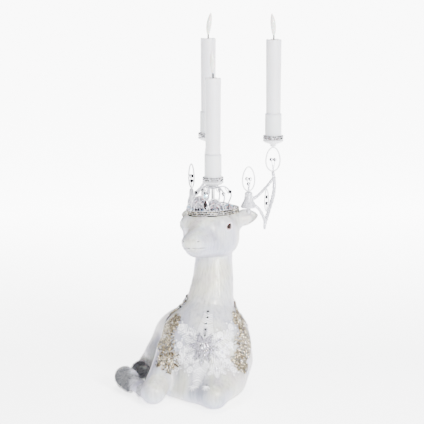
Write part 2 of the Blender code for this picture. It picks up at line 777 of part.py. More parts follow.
def antler_bar(side, name, stations):
    corners = []
    for share, z, _ in stations:
        sideways = ANTLER_ROOT[0] + (SIDE_CUP[0] - ANTLER_ROOT[0]) * share
        backwards = ANTLER_ROOT[1] + (SIDE_CUP[1] - ANTLER_ROOT[1]) * share
        corners.append(antler_point(side, sideways, backwards, z))
    path = smooth_path(corners, 3)
    radii = np.interp(np.linspace(0, 1, len(path)), np.linspace(0, 1, len(stations)),
                      [radius for _, _, radius in stations])
    return wire(name, path, list(radii), None)


def antler(side, word):
    """Bell-shaped root with a peg into the head, a post under the cup and two bars between."""
    root = [
        (0, 0.2860), (0.0050, 0.2860), (0.0062, 0.2760), (0.0085, 0.2705), (0.0108, 0.2640),
        (0.0100, 0.2632), (PEG_RADIUS, 0.2632), (PEG_RADIUS, 0.2430), (0, 0.2430),
    ]
    place = antler_point(side, *ANTLER_ROOT, 0)
    bell = turned(f"bell_{word}", root, None, place, steps=16, cutter=True)
    bars = [
        antler_bar(side, f"post_{word}", ANTLER_POST),
        antler_bar(side, f"upper_bar_{word}", ANTLER_UPPER),
        antler_bar(side, f"lower_bar_{word}", ANTLER_LOWER),
    ]
    joined_wires(f"antler_{word}", [bell, *bars], "white_metal")


def oval_loop(name, middle, direction, half_width, half_height, radius):
    count = 18
    points = []
    for i in range(count):
        turn = 2 * math.pi * i / count
        across = half_width * math.cos(turn) * (1 - 0.12 * math.sin(turn))
        points.append(middle + direction * across + Vector((0, 0, half_height * math.sin(turn))))
    obj = as_mesh_object(wire(name, points, radius, None, cyclic=True))
    obj.data.materials.append(material("white_metal"))
    round_shading(obj, 60)


def antler_loops(side, word):
    """Wire ovals: one carries the cup, one tops the root, one stands beside the post."""
    yaw = head_matrix(rolled=False).to_3x3()
    across = yaw @ Vector((side * math.cos(LOOP_TURN), math.sin(LOOP_TURN), 0))
    along = yaw @ Vector((side * 0.11, 0.99, 0)).normalized()
    low, high = POST_TOP + GAP, SIDE_CUP_Z - CUP_DEPTH - GAP
    wire_radius = 0.0010
    top = antler_point(side, *SIDE_CUP, (low + high) / 2)
    oval_loop(f"top_loop_{word}", top, across, 0.0112, (high - low) / 2 - wire_radius, wire_radius)
    short = antler_point(side, *ANTLER_ROOT, 0.2860 + GAP + 0.0172 + wire_radius)
    oval_loop(f"short_loop_{word}", short, across, 0.0092, 0.0172, wire_radius)
    share = 0.74
    sideways = ANTLER_ROOT[0] + (SIDE_CUP[0] - ANTLER_ROOT[0]) * share
    backwards = ANTLER_ROOT[1] + (SIDE_CUP[1] - ANTLER_ROOT[1]) * share
    hanging = antler_point(side, sideways, backwards, 0.2660)
    oval_loop(f"hanging_loop_{word}", hanging, along, 0.0060, 0.0160, 0.0009)


# ---------------------------------------------------------------- LED candles

CAP_HEIGHT = 0.0022
CAP_SPIGOT = 0.0080
LENS_HOLE = 0.0021


def candle(word, x, y, floor, lean):
    """Wax-covered tube with its flame, wick, lamp holder, two cells and twist cap."""
    axis = add_object(f"candle_axis_{word}", None)
    axis.location = (x, y, floor)
    foot, top = CANDLE_FOOT, CANDLE_TOP
    body_foot = foot + CAP_HEIGHT + GAP
    inner = CANDLE_RADIUS_FOOT - CANDLE_WALL
    rim = 0.0012
    shell = [
        (LENS_HOLE, top - 0.0008), (CANDLE_RADIUS_TOP - 0.0035, top - 0.0006),
        (CANDLE_RADIUS_TOP - rim, top), (CANDLE_RADIUS_TOP, top - rim),
        (CANDLE_RADIUS_FOOT, body_foot), (inner, body_foot), (inner, top - 0.0030),
        (LENS_HOLE, top - 0.0030),
    ]
    round_shading(turned(f"candle_shell_{word}", shell, "wax", closed=True, parent=axis))

    tip, root = top + WICK_HEIGHT, top - 0.0030
    wick = [(0, tip), (WICK_RADIUS, tip), (WICK_RADIUS, root), (0, root)]
    turned(f"wick_{word}", wick, "wick", steps=10, parent=axis)

    path, radii = [], []
    for t in np.linspace(0, 1, 11):
        reach = lean * t**1.5
        path.append(Vector((reach, 0.3 * reach, tip + GAP + FLAME_HEIGHT * t)))
        radii.append(FLAME_RADIUS * (0.35 + 1.86 * t) * (1 - t) ** 0.85 + 0.0003)
    wire(f"flame_{word}", path, radii, "flame_plastic", bevel_resolution=2, parent=axis)

    high, low = top - 0.0034, top - 0.0150
    lamp = [(0, high), (0.0060, high), (0.0082, high - 0.0030), (0.0082, low), (0, low)]
    turned(f"lamp_holder_{word}", lamp, "white_plastic", steps=12, parent=axis)

    nub, nub_radius = 0.0010, 0.0019
    for i, level in enumerate(("lower", "upper")):
        low = foot + CAP_HEIGHT + CAP_SPIGOT + 0.0060 + i * (BATTERY_LENGTH + GAP)
        high = low + BATTERY_LENGTH
        cell = [
            (0, high), (nub_radius, high), (nub_radius, high - nub), (BATTERY_RADIUS, high - nub),
            (BATTERY_RADIUS, low), (0, low),
        ]
        turned(f"battery_{level}_{word}", cell, "battery_wrap", steps=12, parent=axis)

    rim, spigot = CANDLE_RADIUS_FOOT - 0.0004, inner - GAP
    cap = [
        (0, foot + CAP_HEIGHT + CAP_SPIGOT), (spigot, foot + CAP_HEIGHT + CAP_SPIGOT),
        (spigot, foot + CAP_HEIGHT), (rim, foot + CAP_HEIGHT), (rim, foot + 0.0004),
        (rim - 0.0006, foot), (0, foot),
    ]
    turned(f"battery_cap_{word}", cap, "white_plastic", steps=16, parent=axis)


# ---------------------------------------------------------------- snowflakes


def flake_sheet(arm):
    """A flat star round a hub: six pointed arms, each with one pair of side branches."""
    half = 0.050
    bm = bmesh.new()
    hub = bm.verts.new((0, 0, 0))
    feet = []
    for i in range(6):
        turn = Matrix.Rotation(math.pi / 3 * i + math.pi / 6, 3, "Z")

        def spot(along, across):
            return bm.verts.new(turn @ Vector((along * arm, across * arm, 0)))

        rows = [(spot(along, -half), spot(along, half)) for along in (0.12, 0.42, 0.60)]
        for (a, b), (c, d) in zip(rows, rows[1:]):
            bm.faces.new((a, c, d, b))
        bm.faces.new((rows[2][0], spot(1, 0), rows[2][1]))
        for row_side, across in ((0, -1), (1, 1)):
            end = (spot(0.70, across * 0.16), spot(0.62, across * 0.21))
            bm.faces.new((rows[1][row_side], rows[2][row_side], *end))
        feet.append(rows[0])
    for (a, b), (c, _) in zip(feet, feet[1:] + feet[:1]):
        bm.faces.new((hub, a, b))
        bm.faces.new((hub, b, c))
    return bm


def snowflake(name, rough_place, arm, layer, colour):
    """A thin flake laid on the casting's skin, each layer clear of the one under it."""
    above = FLAKE_CLEAR + FLAKE_LAYER * (layer - 1) + FLAKE_THICKNESS / 2
    middle = Vector(onto_casting([rough_place], above)[0])
    outer = Vector(onto_casting([rough_place], above + 0.004)[0])
    normal = (outer - middle).normalized()
    across = Vector((0, 0, 1)).cross(normal).normalized()
    upward = normal.cross(across)
    bm = flake_sheet(arm)
    rough = [middle + across * vert.co.x + upward * vert.co.y for vert in bm.verts]
    for vert, place in zip(bm.verts, onto_casting(rough, above, rounds=10)):
        vert.co = place
    obj = add_object(name, mesh_from(bm, name), colour)
    shell = obj.modifiers.new("thickness", "SOLIDIFY")
    shell.thickness = FLAKE_THICKNESS
    shell.offset = 0


# ---------------------------------------------------------------- assembly


def main():
    clear_scene()
    body_casting()
    base_felt()
    eyes()
    crown_band()
    tiara()
    tiara_gems()
    crown_cage()
    stem_rod()
    holders = [("centre", 0.0, 0.0, CENTRE_CUP_Z, -0.002)]
    for side, word, lean in ((1, "left", -0.003), (-1, "right", 0.004)):
        place = antler_point(side, *SIDE_CUP, 0)
        holders.append((word, place.x, place.y, SIDE_CUP_Z, lean))
        antler(side, word)
        antler_loops(side, word)
    for word, x, y, floor, lean in holders:
        cup_parts(word, x, y, floor)
        candle(word, x, y, floor, lean)
    for flake in SNOWFLAKES:
        snowflake(*flake)


main()
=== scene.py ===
"""Looks for the lying reindeer that carries three LED candles.

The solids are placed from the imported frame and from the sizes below, which are the model's own.
The collar's ornaments and the fur are not: their places come from the photo, as noted at each table.
-Y is the way the chest faces, +Z is up, and right and left are the animal's own.
"""

import math
import random

import bmesh
import bpy
import numpy as np
from mathutils import Matrix, Vector
from mathutils.bvhtree import BVHTree


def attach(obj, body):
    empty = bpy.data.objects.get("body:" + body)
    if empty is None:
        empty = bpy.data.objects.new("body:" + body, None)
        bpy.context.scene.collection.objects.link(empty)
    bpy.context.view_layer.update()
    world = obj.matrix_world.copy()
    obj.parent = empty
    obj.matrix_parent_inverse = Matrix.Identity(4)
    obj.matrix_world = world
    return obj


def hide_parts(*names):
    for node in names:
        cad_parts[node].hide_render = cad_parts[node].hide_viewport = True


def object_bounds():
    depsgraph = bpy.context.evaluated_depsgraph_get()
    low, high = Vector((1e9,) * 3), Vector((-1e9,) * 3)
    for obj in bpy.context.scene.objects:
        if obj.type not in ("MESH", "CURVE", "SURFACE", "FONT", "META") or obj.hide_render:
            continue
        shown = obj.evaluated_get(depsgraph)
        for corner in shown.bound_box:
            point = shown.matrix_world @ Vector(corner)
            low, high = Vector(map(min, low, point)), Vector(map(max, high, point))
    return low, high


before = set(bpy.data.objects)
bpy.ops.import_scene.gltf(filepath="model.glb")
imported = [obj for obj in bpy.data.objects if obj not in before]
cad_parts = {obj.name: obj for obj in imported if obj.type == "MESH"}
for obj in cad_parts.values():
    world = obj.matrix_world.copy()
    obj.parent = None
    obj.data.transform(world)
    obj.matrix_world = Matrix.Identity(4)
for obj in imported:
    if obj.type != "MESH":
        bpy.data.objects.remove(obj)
CAD_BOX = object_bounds()
rng = random.Random(7)

# Sizes shared with the solids
BASE_Z = 0.0020
HEAD_YAW, HEAD_ROLL, HEAD_ROLL_HEIGHT = math.radians(-22), math.radians(-3), 0.235
CROWN_YAW = math.radians(10)
CROWN_BACK, CROWN_STRETCH = 0.003, 1.07
CROWN_INNER, CROWN_OUTER, CROWN_LOW, CROWN_HIGH = 0.0352, 0.0372, 0.2560, 0.2640
TIARA_FOOT = 0.2644
SIDE_CUP, ANTLER_ROOT = (0.0512, 0.108), (0.044, 0.026)
CENTRE_CUP_Z, SIDE_CUP_Z = 0.3030, 0.3532
LEAN = {"centre": -0.002, "left": -0.003, "right": 0.004}
CUP_DEPTH = 0.0105
SLEEVE_OUTER, SLEEVE_INNER, SLEEVE_HEIGHT = 0.0121, 0.0112, 0.0375
BAND_OUTER, BAND_INNER, BAND_HEIGHT = 0.0151, 0.0125, 0.0066
CANDLE_TOP, CANDLE_RADIUS_TOP, CANDLE_RADIUS_FOOT = 0.1455, 0.0113, 0.0104
CANDLE_WALL, CAP_HEIGHT, GAP, LENS_HOLE = 0.0016, 0.0022, 0.0004, 0.0021
WICK_HEIGHT = 0.0058
FLAME_RADIUS, FLAME_HEIGHT = 0.0052, 0.0310
EYE, EYE_RADIUS = (0.0340, -0.0275, 0.2430), 0.0042
LOOP_TURN = math.radians(43)
POST_TOP = 0.3050

# Soft masses of the body: middle, radii, turn about Z in degrees, blend with the rest
BODY_MASSES = (
    ((-0.020, 0.045, 0.060), (0.049, 0.092, 0.053), 13, 0.030),  # ribs
    ((-0.006, -0.026, 0.070), (0.050, 0.050, 0.056), 0, 0.030),  # chest
    ((-0.048, -0.012, 0.066), (0.023, 0.038, 0.042), 0, 0.026),  # right shoulder
    ((0.029, -0.010, 0.060), (0.021, 0.038, 0.040), 0, 0.026),  # left shoulder
    ((-0.008, -0.058, 0.032), (0.046, 0.038, 0.030), 0, 0.020),  # between the forelegs
    ((-0.046, 0.122, 0.044), (0.044, 0.056, 0.042), 10, 0.034),  # rump
    ((-0.062, 0.096, 0.022), (0.042, 0.054, 0.034), 8, 0.014),  # right haunch
    ((-0.008, 0.108, 0.028), (0.036, 0.054, 0.034), 4, 0.014),  # left haunch
)

# Limbs as chains of x, y, z and radius, each with its blend
BODY_LIMBS = (
    (((-0.010, -0.018, 0.092, 0.048), (-0.004, -0.012, 0.130, 0.0335), (0.000, -0.006, 0.162, 0.0290),
      (0.001, 0.000, 0.190, 0.0265), (0.002, 0.004, 0.215, 0.0260)), 0.022),  # neck
    (((-0.061, -0.022, 0.056, 0.020), (-0.072, -0.052, 0.036, 0.0175),
      (-0.082, -0.084, 0.0190, 0.0170)), 0.014),  # right foreleg, down to the knee
    (((-0.086, -0.078, 0.0155, 0.0135), (-0.106, -0.036, 0.0135, 0.0100),
      (-0.118, -0.014, 0.0150, 0.0100)), 0.006),  # right cannon, folded back beside the body
    (((-0.120, -0.010, 0.0180, 0.0140), (-0.127, 0.004, 0.0175, 0.0150)), 0.003),  # its hoof
    (((0.030, -0.024, 0.046, 0.022), (0.024, -0.066, 0.030, 0.0210),
      (0.002, -0.104, 0.0205, 0.0185)), 0.018),  # left foreleg, to the knee under the chest
    (((0.000, -0.102, 0.0185, 0.0165), (-0.032, -0.076, 0.0155, 0.0135),
      (-0.058, -0.048, 0.0140, 0.0120)), 0.010),  # left cannon, across under the chest
    (((-0.084, 0.146, 0.0170, 0.0150), (-0.100, 0.100, 0.0140, 0.0115),
      (-0.106, 0.064, 0.0125, 0.0100)), 0.006),  # right hind cannon, under the haunch
    (((-0.107, 0.056, 0.0145, 0.0120), (-0.104, 0.034, 0.0140, 0.0125)), 0.003),  # its hoof
    (((0.014, 0.148, 0.0165, 0.0140), (0.032, 0.102, 0.0135, 0.0110),
      (0.037, 0.066, 0.0125, 0.0100)), 0.006),  # left hind cannon
    (((-0.064, 0.170, 0.054, 0.0110), (-0.072, 0.186, 0.044, 0.0070)), 0.008),  # tail
)

# The same for the head, in its own frame: x to the animal's left, y backwards
HEAD_MASSES = (
    ((0.000, 0.000, 0.2340), (0.0360, 0.041, 0.0335), 0, 0.010),  # skull
    ((0.000, -0.020, 0.2390), (0.0355, 0.0300, 0.0250), 0, 0.010),  # forehead
    *(((side * 0.0215, -0.010, 0.2170), (0.0150, 0.032, 0.0185), 0, 0.012) for side in (1, -1)),  # cheeks
    ((0.000, -0.028, 0.2120), (0.0235, 0.044, 0.0130), 0, 0.010),  # jaw
    ((0.000, -0.048, 0.2240), (0.0240, 0.0360, 0.0175), 0, 0.006),  # muzzle
    ((0.000, -0.0725, 0.2285), (0.0165, 0.0135, 0.0090), 0, 0.005),  # nose
    *(((side * 0.0270, -0.026, 0.2495), (0.0085, 0.0130, 0.0070), 0, 0.010) for side in (1, -1)),  # brows
)
HEAD_LIMBS = (
    (((0.000, -0.012, 0.2410, 0.0210), (0.000, -0.060, 0.2300, 0.0120)), 0.010),  # bridge
    *((((side * 0.026, 0.016, 0.243, 0.012), (side * 0.043, 0.0265, 0.2470, 0.0085)), 0.008)
      for side in (1, -1)),  # ear stubs
)
HEAD_BLEND = 0.004


def head_matrix(rolled=True):
    """From the head's frame to the object's. Candle holders stay upright, so they aren't rolled."""
    yaw = Matrix.Rotation(HEAD_YAW, 4, "Z")
    if not rolled:
        return yaw
    up = Matrix.Translation((0, 0, HEAD_ROLL_HEIGHT))
    return yaw @ up @ Matrix.Rotation(HEAD_ROLL, 4, "Y") @ up.inverted()


def crown_matrix():
    return head_matrix() @ Matrix.Rotation(CROWN_YAW, 4, "Z")


def antler_point(side, sideways, backwards, z):
    return head_matrix(rolled=False) @ Vector((side * sideways, backwards, z))


# ---------------------------------------------------------------- the casting's surface

def smooth_min(a, b, blend):
    near = np.maximum(blend - np.abs(a - b), 0) / blend
    return np.minimum(a, b) - near * near * blend / 4


def turned_axes(degrees):
    c, s = math.cos(math.radians(degrees)), math.sin(math.radians(degrees))
    return np.array(((c, -s, 0), (s, c, 0), (0, 0, 1)))


def mass_distance(points, middle, radii, degrees):
    local = (points - np.array(middle)) @ turned_axes(degrees)
    radii = np.array(radii)
    outwards = np.linalg.norm(local / radii, axis=1)
    slope = np.linalg.norm(local / radii**2, axis=1) + 1e-9
    return outwards * (outwards - 1) / slope


def limb_distance(points, chain):
    nearest = np.full(len(points), 1e3)
    for start, end in zip(chain, chain[1:]):
        a, b = np.array(start[:3]), np.array(end[:3])
        along = b - a
        share = np.clip((points - a) @ along / (along @ along), 0, 1)
        radius = start[3] + (end[3] - start[3]) * share
        reach = np.linalg.norm(points - a - share[:, None] * along, axis=1)
        nearest = np.minimum(nearest, reach - radius)
    return nearest


def blended(points, masses, limbs):
    total = np.full(len(points), 1e3)
    for middle, radii, degrees, blend in masses:
        total = smooth_min(total, mass_distance(points, middle, radii, degrees), blend)
    for chain, blend in limbs:
        total = smooth_min(total, limb_distance(points, chain), blend)
    return total


def casting_distance(points):
    """Rough distance of points from the casting's skin, negative inside."""
    to_head = np.array(head_matrix().inverted())
    in_head = points @ to_head[:3, :3].T + to_head[:3, 3]
    body = blended(points, BODY_MASSES, BODY_LIMBS)
    head = blended(in_head, HEAD_MASSES, HEAD_LIMBS)
    return smooth_min(body, head, HEAD_BLEND)


def onto_casting(points, rounds):
    """Moves points onto the casting's skin."""
    points = np.array(points, float).reshape(-1, 3)
    step = 1e-4
    for _ in range(rounds):
        here = casting_distance(points)
        slope = np.stack(
            [(casting_distance(points + step * axis) - here) / step for axis in np.eye(3)], axis=1
        )
        slope /= np.maximum((slope**2).sum(axis=1, keepdims=True), 0.25)
        points = points - np.clip(here, -0.003, 0.003)[:, None] * slope
    return points

# ---------------------------------------------------------------- materials


class Nodes:
    """A material's node tree, built up line by line."""

    def __init__(self, name):
        self.material = bpy.data.materials.new(name)
        self.material.use_nodes = True
        self.tree = self.material.node_tree
        self.shader = self.tree.nodes["Principled BSDF"]
        self.where = self.tree.nodes.new("ShaderNodeTexCoord").outputs["Object"]

    def add(self, kind, **inputs):
        node = self.tree.nodes.new(kind)
        for key, value in inputs.items():
            self.put(node, key.replace("_", " "), value)
        return node

    def put(self, node, key, value):
        if isinstance(value, bpy.types.NodeSocket):
            self.tree.links.new(value, node.inputs[key])
        else:
            node.inputs[key].default_value = value

    def set(self, **inputs):
        for key, value in inputs.items():
            self.put(self.shader, key.replace("_", " "), value)

    def stretched(self, scale):
        node = self.add("ShaderNodeMapping", Vector=self.where)
        node.inputs["Scale"].default_value = scale
        return node.outputs[0]

    def noise(self, scale, detail=3.0, roughness=0.5, where=None, distortion=0.0):
        node = self.add(
            "ShaderNodeTexNoise", Vector=where or self.where, Scale=scale, Detail=detail,
            Roughness=roughness, Distortion=distortion,
        )
        return node.outputs["Fac"]

    def cells(self, scale):
        """A random colour for each cell about 1 / scale metres across."""
        return self.add("ShaderNodeTexVoronoi", Vector=self.where, Scale=scale).outputs["Color"]

    def ramp(self, value, stops):
        node = self.add("ShaderNodeValToRGB", Fac=value)
        marks = node.color_ramp.elements
        marks.remove(marks[1])
        marks[0].position, marks[0].color = stops[0][0], (*stops[0][1], 1)
        for place, colour in stops[1:]:
            marks.new(place).color = (*colour, 1)
        return node.outputs["Color"]

    def shares(self, value, low, high, to_low=0.0, to_high=1.0):
        node = self.add("ShaderNodeMapRange", Value=value)
        for key, number in zip(("From Min", "From Max", "To Min", "To Max"),
                               (low, high, to_low, to_high)):
            node.inputs[key].default_value = number
        return node.outputs[0]

    def mix(self, share, a, b, how="MIX"):
        node = self.tree.nodes.new("ShaderNodeMix")
        node.data_type = "RGBA"
        node.blend_type = how
        for key, value in ((0, share), (6, a), (7, b)):
            if isinstance(value, bpy.types.NodeSocket):
                self.tree.links.new(value, node.inputs[key])
            else:
                node.inputs[key].default_value = (*value, 1) if isinstance(value, tuple) else value
        return node.outputs[2]

    def sum(self, a, b, how="ADD"):
        node = self.tree.nodes.new("ShaderNodeMath")
        node.operation = how
        for key, value in ((0, a), (1, b)):
            self.put(node, key, value)
        return node.outputs[0]

    def bump(self, height, strength, depth):
        node = self.add("ShaderNodeBump", Strength=strength, Distance=depth, Height=height)
        self.put(self.shader, "Normal", node.outputs[0])


def grey(level):
    return (level, level, level)


def pearl_resin():
    """Hand-brushed pearl paint over resin: lilac, pink and straw washes with combed fur."""
    n = Nodes("pearl_resin")
    wash = n.noise(13, 2, 0.5, distortion=0.6)
    tint = n.ramp(wash, [
        (0.28, (0.270, 0.256, 0.328)), (0.42, (0.370, 0.362, 0.415)), (0.50, (0.440, 0.430, 0.444)),
        (0.58, (0.455, 0.440, 0.385)), (0.68, (0.405, 0.350, 0.388)), (0.80, (0.290, 0.282, 0.352)),
    ])
    streak = n.noise(260, 4, 0.6, where=n.stretched((1, 1, 0.09)))
    streaks = n.ramp(streak, [(0.30, grey(0.70)), (0.50, grey(0.96)), (0.70, grey(1.09))])
    tint = n.mix(1.0, tint, streaks, "MULTIPLY")
    # Painted shade: the mouth line and the nostrils are darkened
    crease = n.add("ShaderNodeAttribute")
    crease.attribute_name = "crease"
    tint = n.mix(crease.outputs["Fac"], tint, (0.060, 0.050, 0.052))
    # Grey hoof paint, and painted shade on the flanks and low on the chest
    hoof_paint_and_shade = n.add("ShaderNodeAttribute")
    hoof_paint_and_shade.attribute_name = "hoof_paint_and_shade"
    tint = n.mix(hoof_paint_and_shade.outputs["Fac"], tint, (0.050, 0.050, 0.056))
    blush = n.add("ShaderNodeAttribute")
    blush.attribute_name = "blush"
    tint = n.mix(blush.outputs["Fac"], tint, (0.560, 0.470, 0.520))
    mica = n.cells(1500)
    rough = n.shares(n.noise(90, 4), 0.3, 0.7, 0.34, 0.50)
    combed = n.noise(340, 3, 0.55, where=n.stretched((1, 1, 0.08)))
    fine = n.noise(1300, 2, 0.5)
    height = n.sum(combed, n.sum(fine, 0.22, "MULTIPLY"))
    n.bump(height, 0.75, 0.0013)
    tint = n.mix(0.035, tint, mica, "OVERLAY")
    n.set(
        Base_Color=tint, Roughness=rough, Coat_Weight=0.35, Coat_Roughness=0.22,
        Subsurface_Weight=0.06, Subsurface_Scale=0.004, Metallic=0.06,
        Thin_Film_Thickness=420.0, Thin_Film_IOR=1.36,
    )
    return n.material


def glitter(name, base, painted_glint, dark, metallic=0.55):
    """Glitter bedded in paint: flat flakes about 0.4 mm across, each tilted its own way; the brightest are
    painted glints.
    """
    n = Nodes(name)
    flake = n.cells(2300)
    share = n.tree.nodes.new("ShaderNodeSeparateColor")
    n.tree.links.new(flake, share.inputs[0])
    colour = n.ramp(share.outputs[0], [(0.0, dark), (0.30, base), (0.72, base), (0.93, painted_glint)])
    rough = n.shares(share.outputs[1], 0, 1, 0.12, 0.5)
    n.bump(share.outputs[2], 0.55, 0.0004)
    n.set(Base_Color=colour, Roughness=rough, Metallic=metallic)
    return n.material


def stone(name, low, high, roughness=0.08, metallic=0.75, coat=1.0):
    """Foil-backed cut glass: depth from a slow colour change, with faint cut marks."""
    n = Nodes(name)
    colour = n.ramp(n.noise(420, 2, 0.6), [(0.30, low), (0.70, high)])
    rough = n.shares(n.noise(900, 2), 0.3, 0.7, roughness * 0.6, roughness * 1.5)
    n.set(Base_Color=colour, Roughness=rough, Metallic=metallic, Coat_Weight=coat,
          Coat_Roughness=0.03, Specular_IOR_Level=0.3)
    return n.material


def enamel(name, low, high, roughness=0.32, metallic=0.0, scale=160, depth=0.0002):
    """Painted or plated metal with slight brush marks."""
    n = Nodes(name)
    colour = n.ramp(n.noise(scale, 4, 0.6), [(0.32, low), (0.68, high)])
    rough = n.shares(n.noise(scale * 3, 3), 0.3, 0.7, roughness * 0.8, roughness * 1.25)
    n.bump(n.noise(scale * 6, 3), 0.25, depth)
    n.set(Base_Color=colour, Roughness=rough, Metallic=metallic, Coat_Weight=0.4,
          Coat_Roughness=0.15)
    return n.material


def wax(name, low, high):
    n = Nodes(name)
    slow = n.noise(30, 3, 0.5, where=n.stretched((1, 1, 0.35)))
    colour = n.ramp(slow, [(0.30, low), (0.70, high)])
    rough = n.shares(n.noise(240, 3), 0.3, 0.7, 0.36, 0.50)
    dimples = n.sum(n.noise(170, 3, 0.5), n.sum(n.noise(1500, 2), 0.15, "MULTIPLY"))
    n.bump(dimples, 0.30, 0.0004)
    n.set(Base_Color=colour, Roughness=rough, Subsurface_Weight=0.35, Subsurface_Scale=0.004,
          Subsurface_Radius=(1.0, 0.75, 0.6), Coat_Weight=0.12, Coat_Roughness=0.3)
    return n.material


def flame_plastic():
    """Milky moulded flame with soft flow lines."""
    n = Nodes("flame_plastic")
    flow = n.noise(120, 3, 0.5, where=n.stretched((1, 1, 0.3)), distortion=1.2)
    colour = n.ramp(flow, [(0.30, (0.52, 0.515, 0.49)), (0.70, (0.64, 0.635, 0.60))])
    n.bump(flow, 0.25, 0.0005)
    n.set(Base_Color=colour, Roughness=0.28, Subsurface_Weight=0.5, Subsurface_Scale=0.004,
          Coat_Weight=0.25, Emission_Color=(1.0, 0.93, 0.80, 1), Emission_Strength=0.03)
    return n.material


def wick_cord():
    """Charred twisted cotton."""
    n = Nodes("wick_cord")
    wave = n.add("ShaderNodeTexWave", Vector=n.where, Scale=900.0, Distortion=1.5)
    colour = n.ramp(wave.outputs["Fac"], [(0.2, grey(0.004)), (0.9, grey(0.022))])
    n.bump(wave.outputs["Fac"], 0.6, 0.0003)
    n.set(Base_Color=colour, Roughness=0.75)
    return n.material


def fur(name, low, high, spread=420):
    n = Nodes(name)
    colour = n.ramp(n.noise(spread, 3, 0.7), [(0.34, low), (0.66, high)])
    n.bump(n.noise(2200, 2), 0.3, 0.0002)
    n.set(Base_Color=colour, Roughness=0.5, Sheen_Weight=0.3, Metallic=0.1)
    return n.material


def felt():
    n = Nodes("felt_pad")
    colour = n.ramp(n.noise(700, 5, 0.7), [(0.3, (0.46, 0.46, 0.48)), (0.7, (0.62, 0.62, 0.64))])
    n.bump(n.noise(1900, 4, 0.8), 0.8, 0.0005)
    n.set(Base_Color=colour, Roughness=0.95, Sheen_Weight=0.4)
    return n.material


def brushed_steel():
    n = Nodes("brushed_steel")
    lines = n.noise(900, 3, 0.6, where=n.stretched((1, 1, 0.05)))
    colour = n.ramp(lines, [(0.3, grey(0.45)), (0.7, grey(0.62))])
    n.bump(lines, 0.2, 0.0001)
    n.set(Base_Color=colour, Roughness=0.34, Metallic=1.0)
    return n.material


def moulded_plastic():
    n = Nodes("moulded_plastic")
    colour = n.ramp(n.noise(140, 3), [(0.3, (0.66, 0.66, 0.65)), (0.7, (0.74, 0.74, 0.72))])
    n.bump(n.noise(2600, 2), 0.25, 0.0001)
    n.set(Base_Color=colour, Roughness=0.42)
    return n.material


def battery_foil():
    n = Nodes("battery_foil")
    split = n.tree.nodes.new("ShaderNodeSeparateXYZ")
    n.tree.links.new(n.where, split.inputs[0])
    bands = n.sum(split.outputs[2], 0.0449, "MODULO")
    base = n.ramp(n.shares(bands, 0, 0.0449), [(0.0, (0.55, 0.36, 0.12)), (0.30, (0.03, 0.03, 0.035))])
    wear = n.noise(500, 4)
    colour = n.mix(n.shares(wear, 0.55, 0.8, 0, 0.35), base, (0.25, 0.25, 0.26))
    n.set(Base_Color=colour, Roughness=0.3, Metallic=0.6)
    return n.material


def glass_eye():
    n = Nodes("glass_eye")
    split = n.noise(900, 3)
    colour = n.ramp(split, [(0.35, (0.004, 0.003, 0.003)), (0.75, (0.016, 0.008, 0.006))])
    n.set(Base_Color=colour, Roughness=0.05, Specular_IOR_Level=0.10)
    return n.material


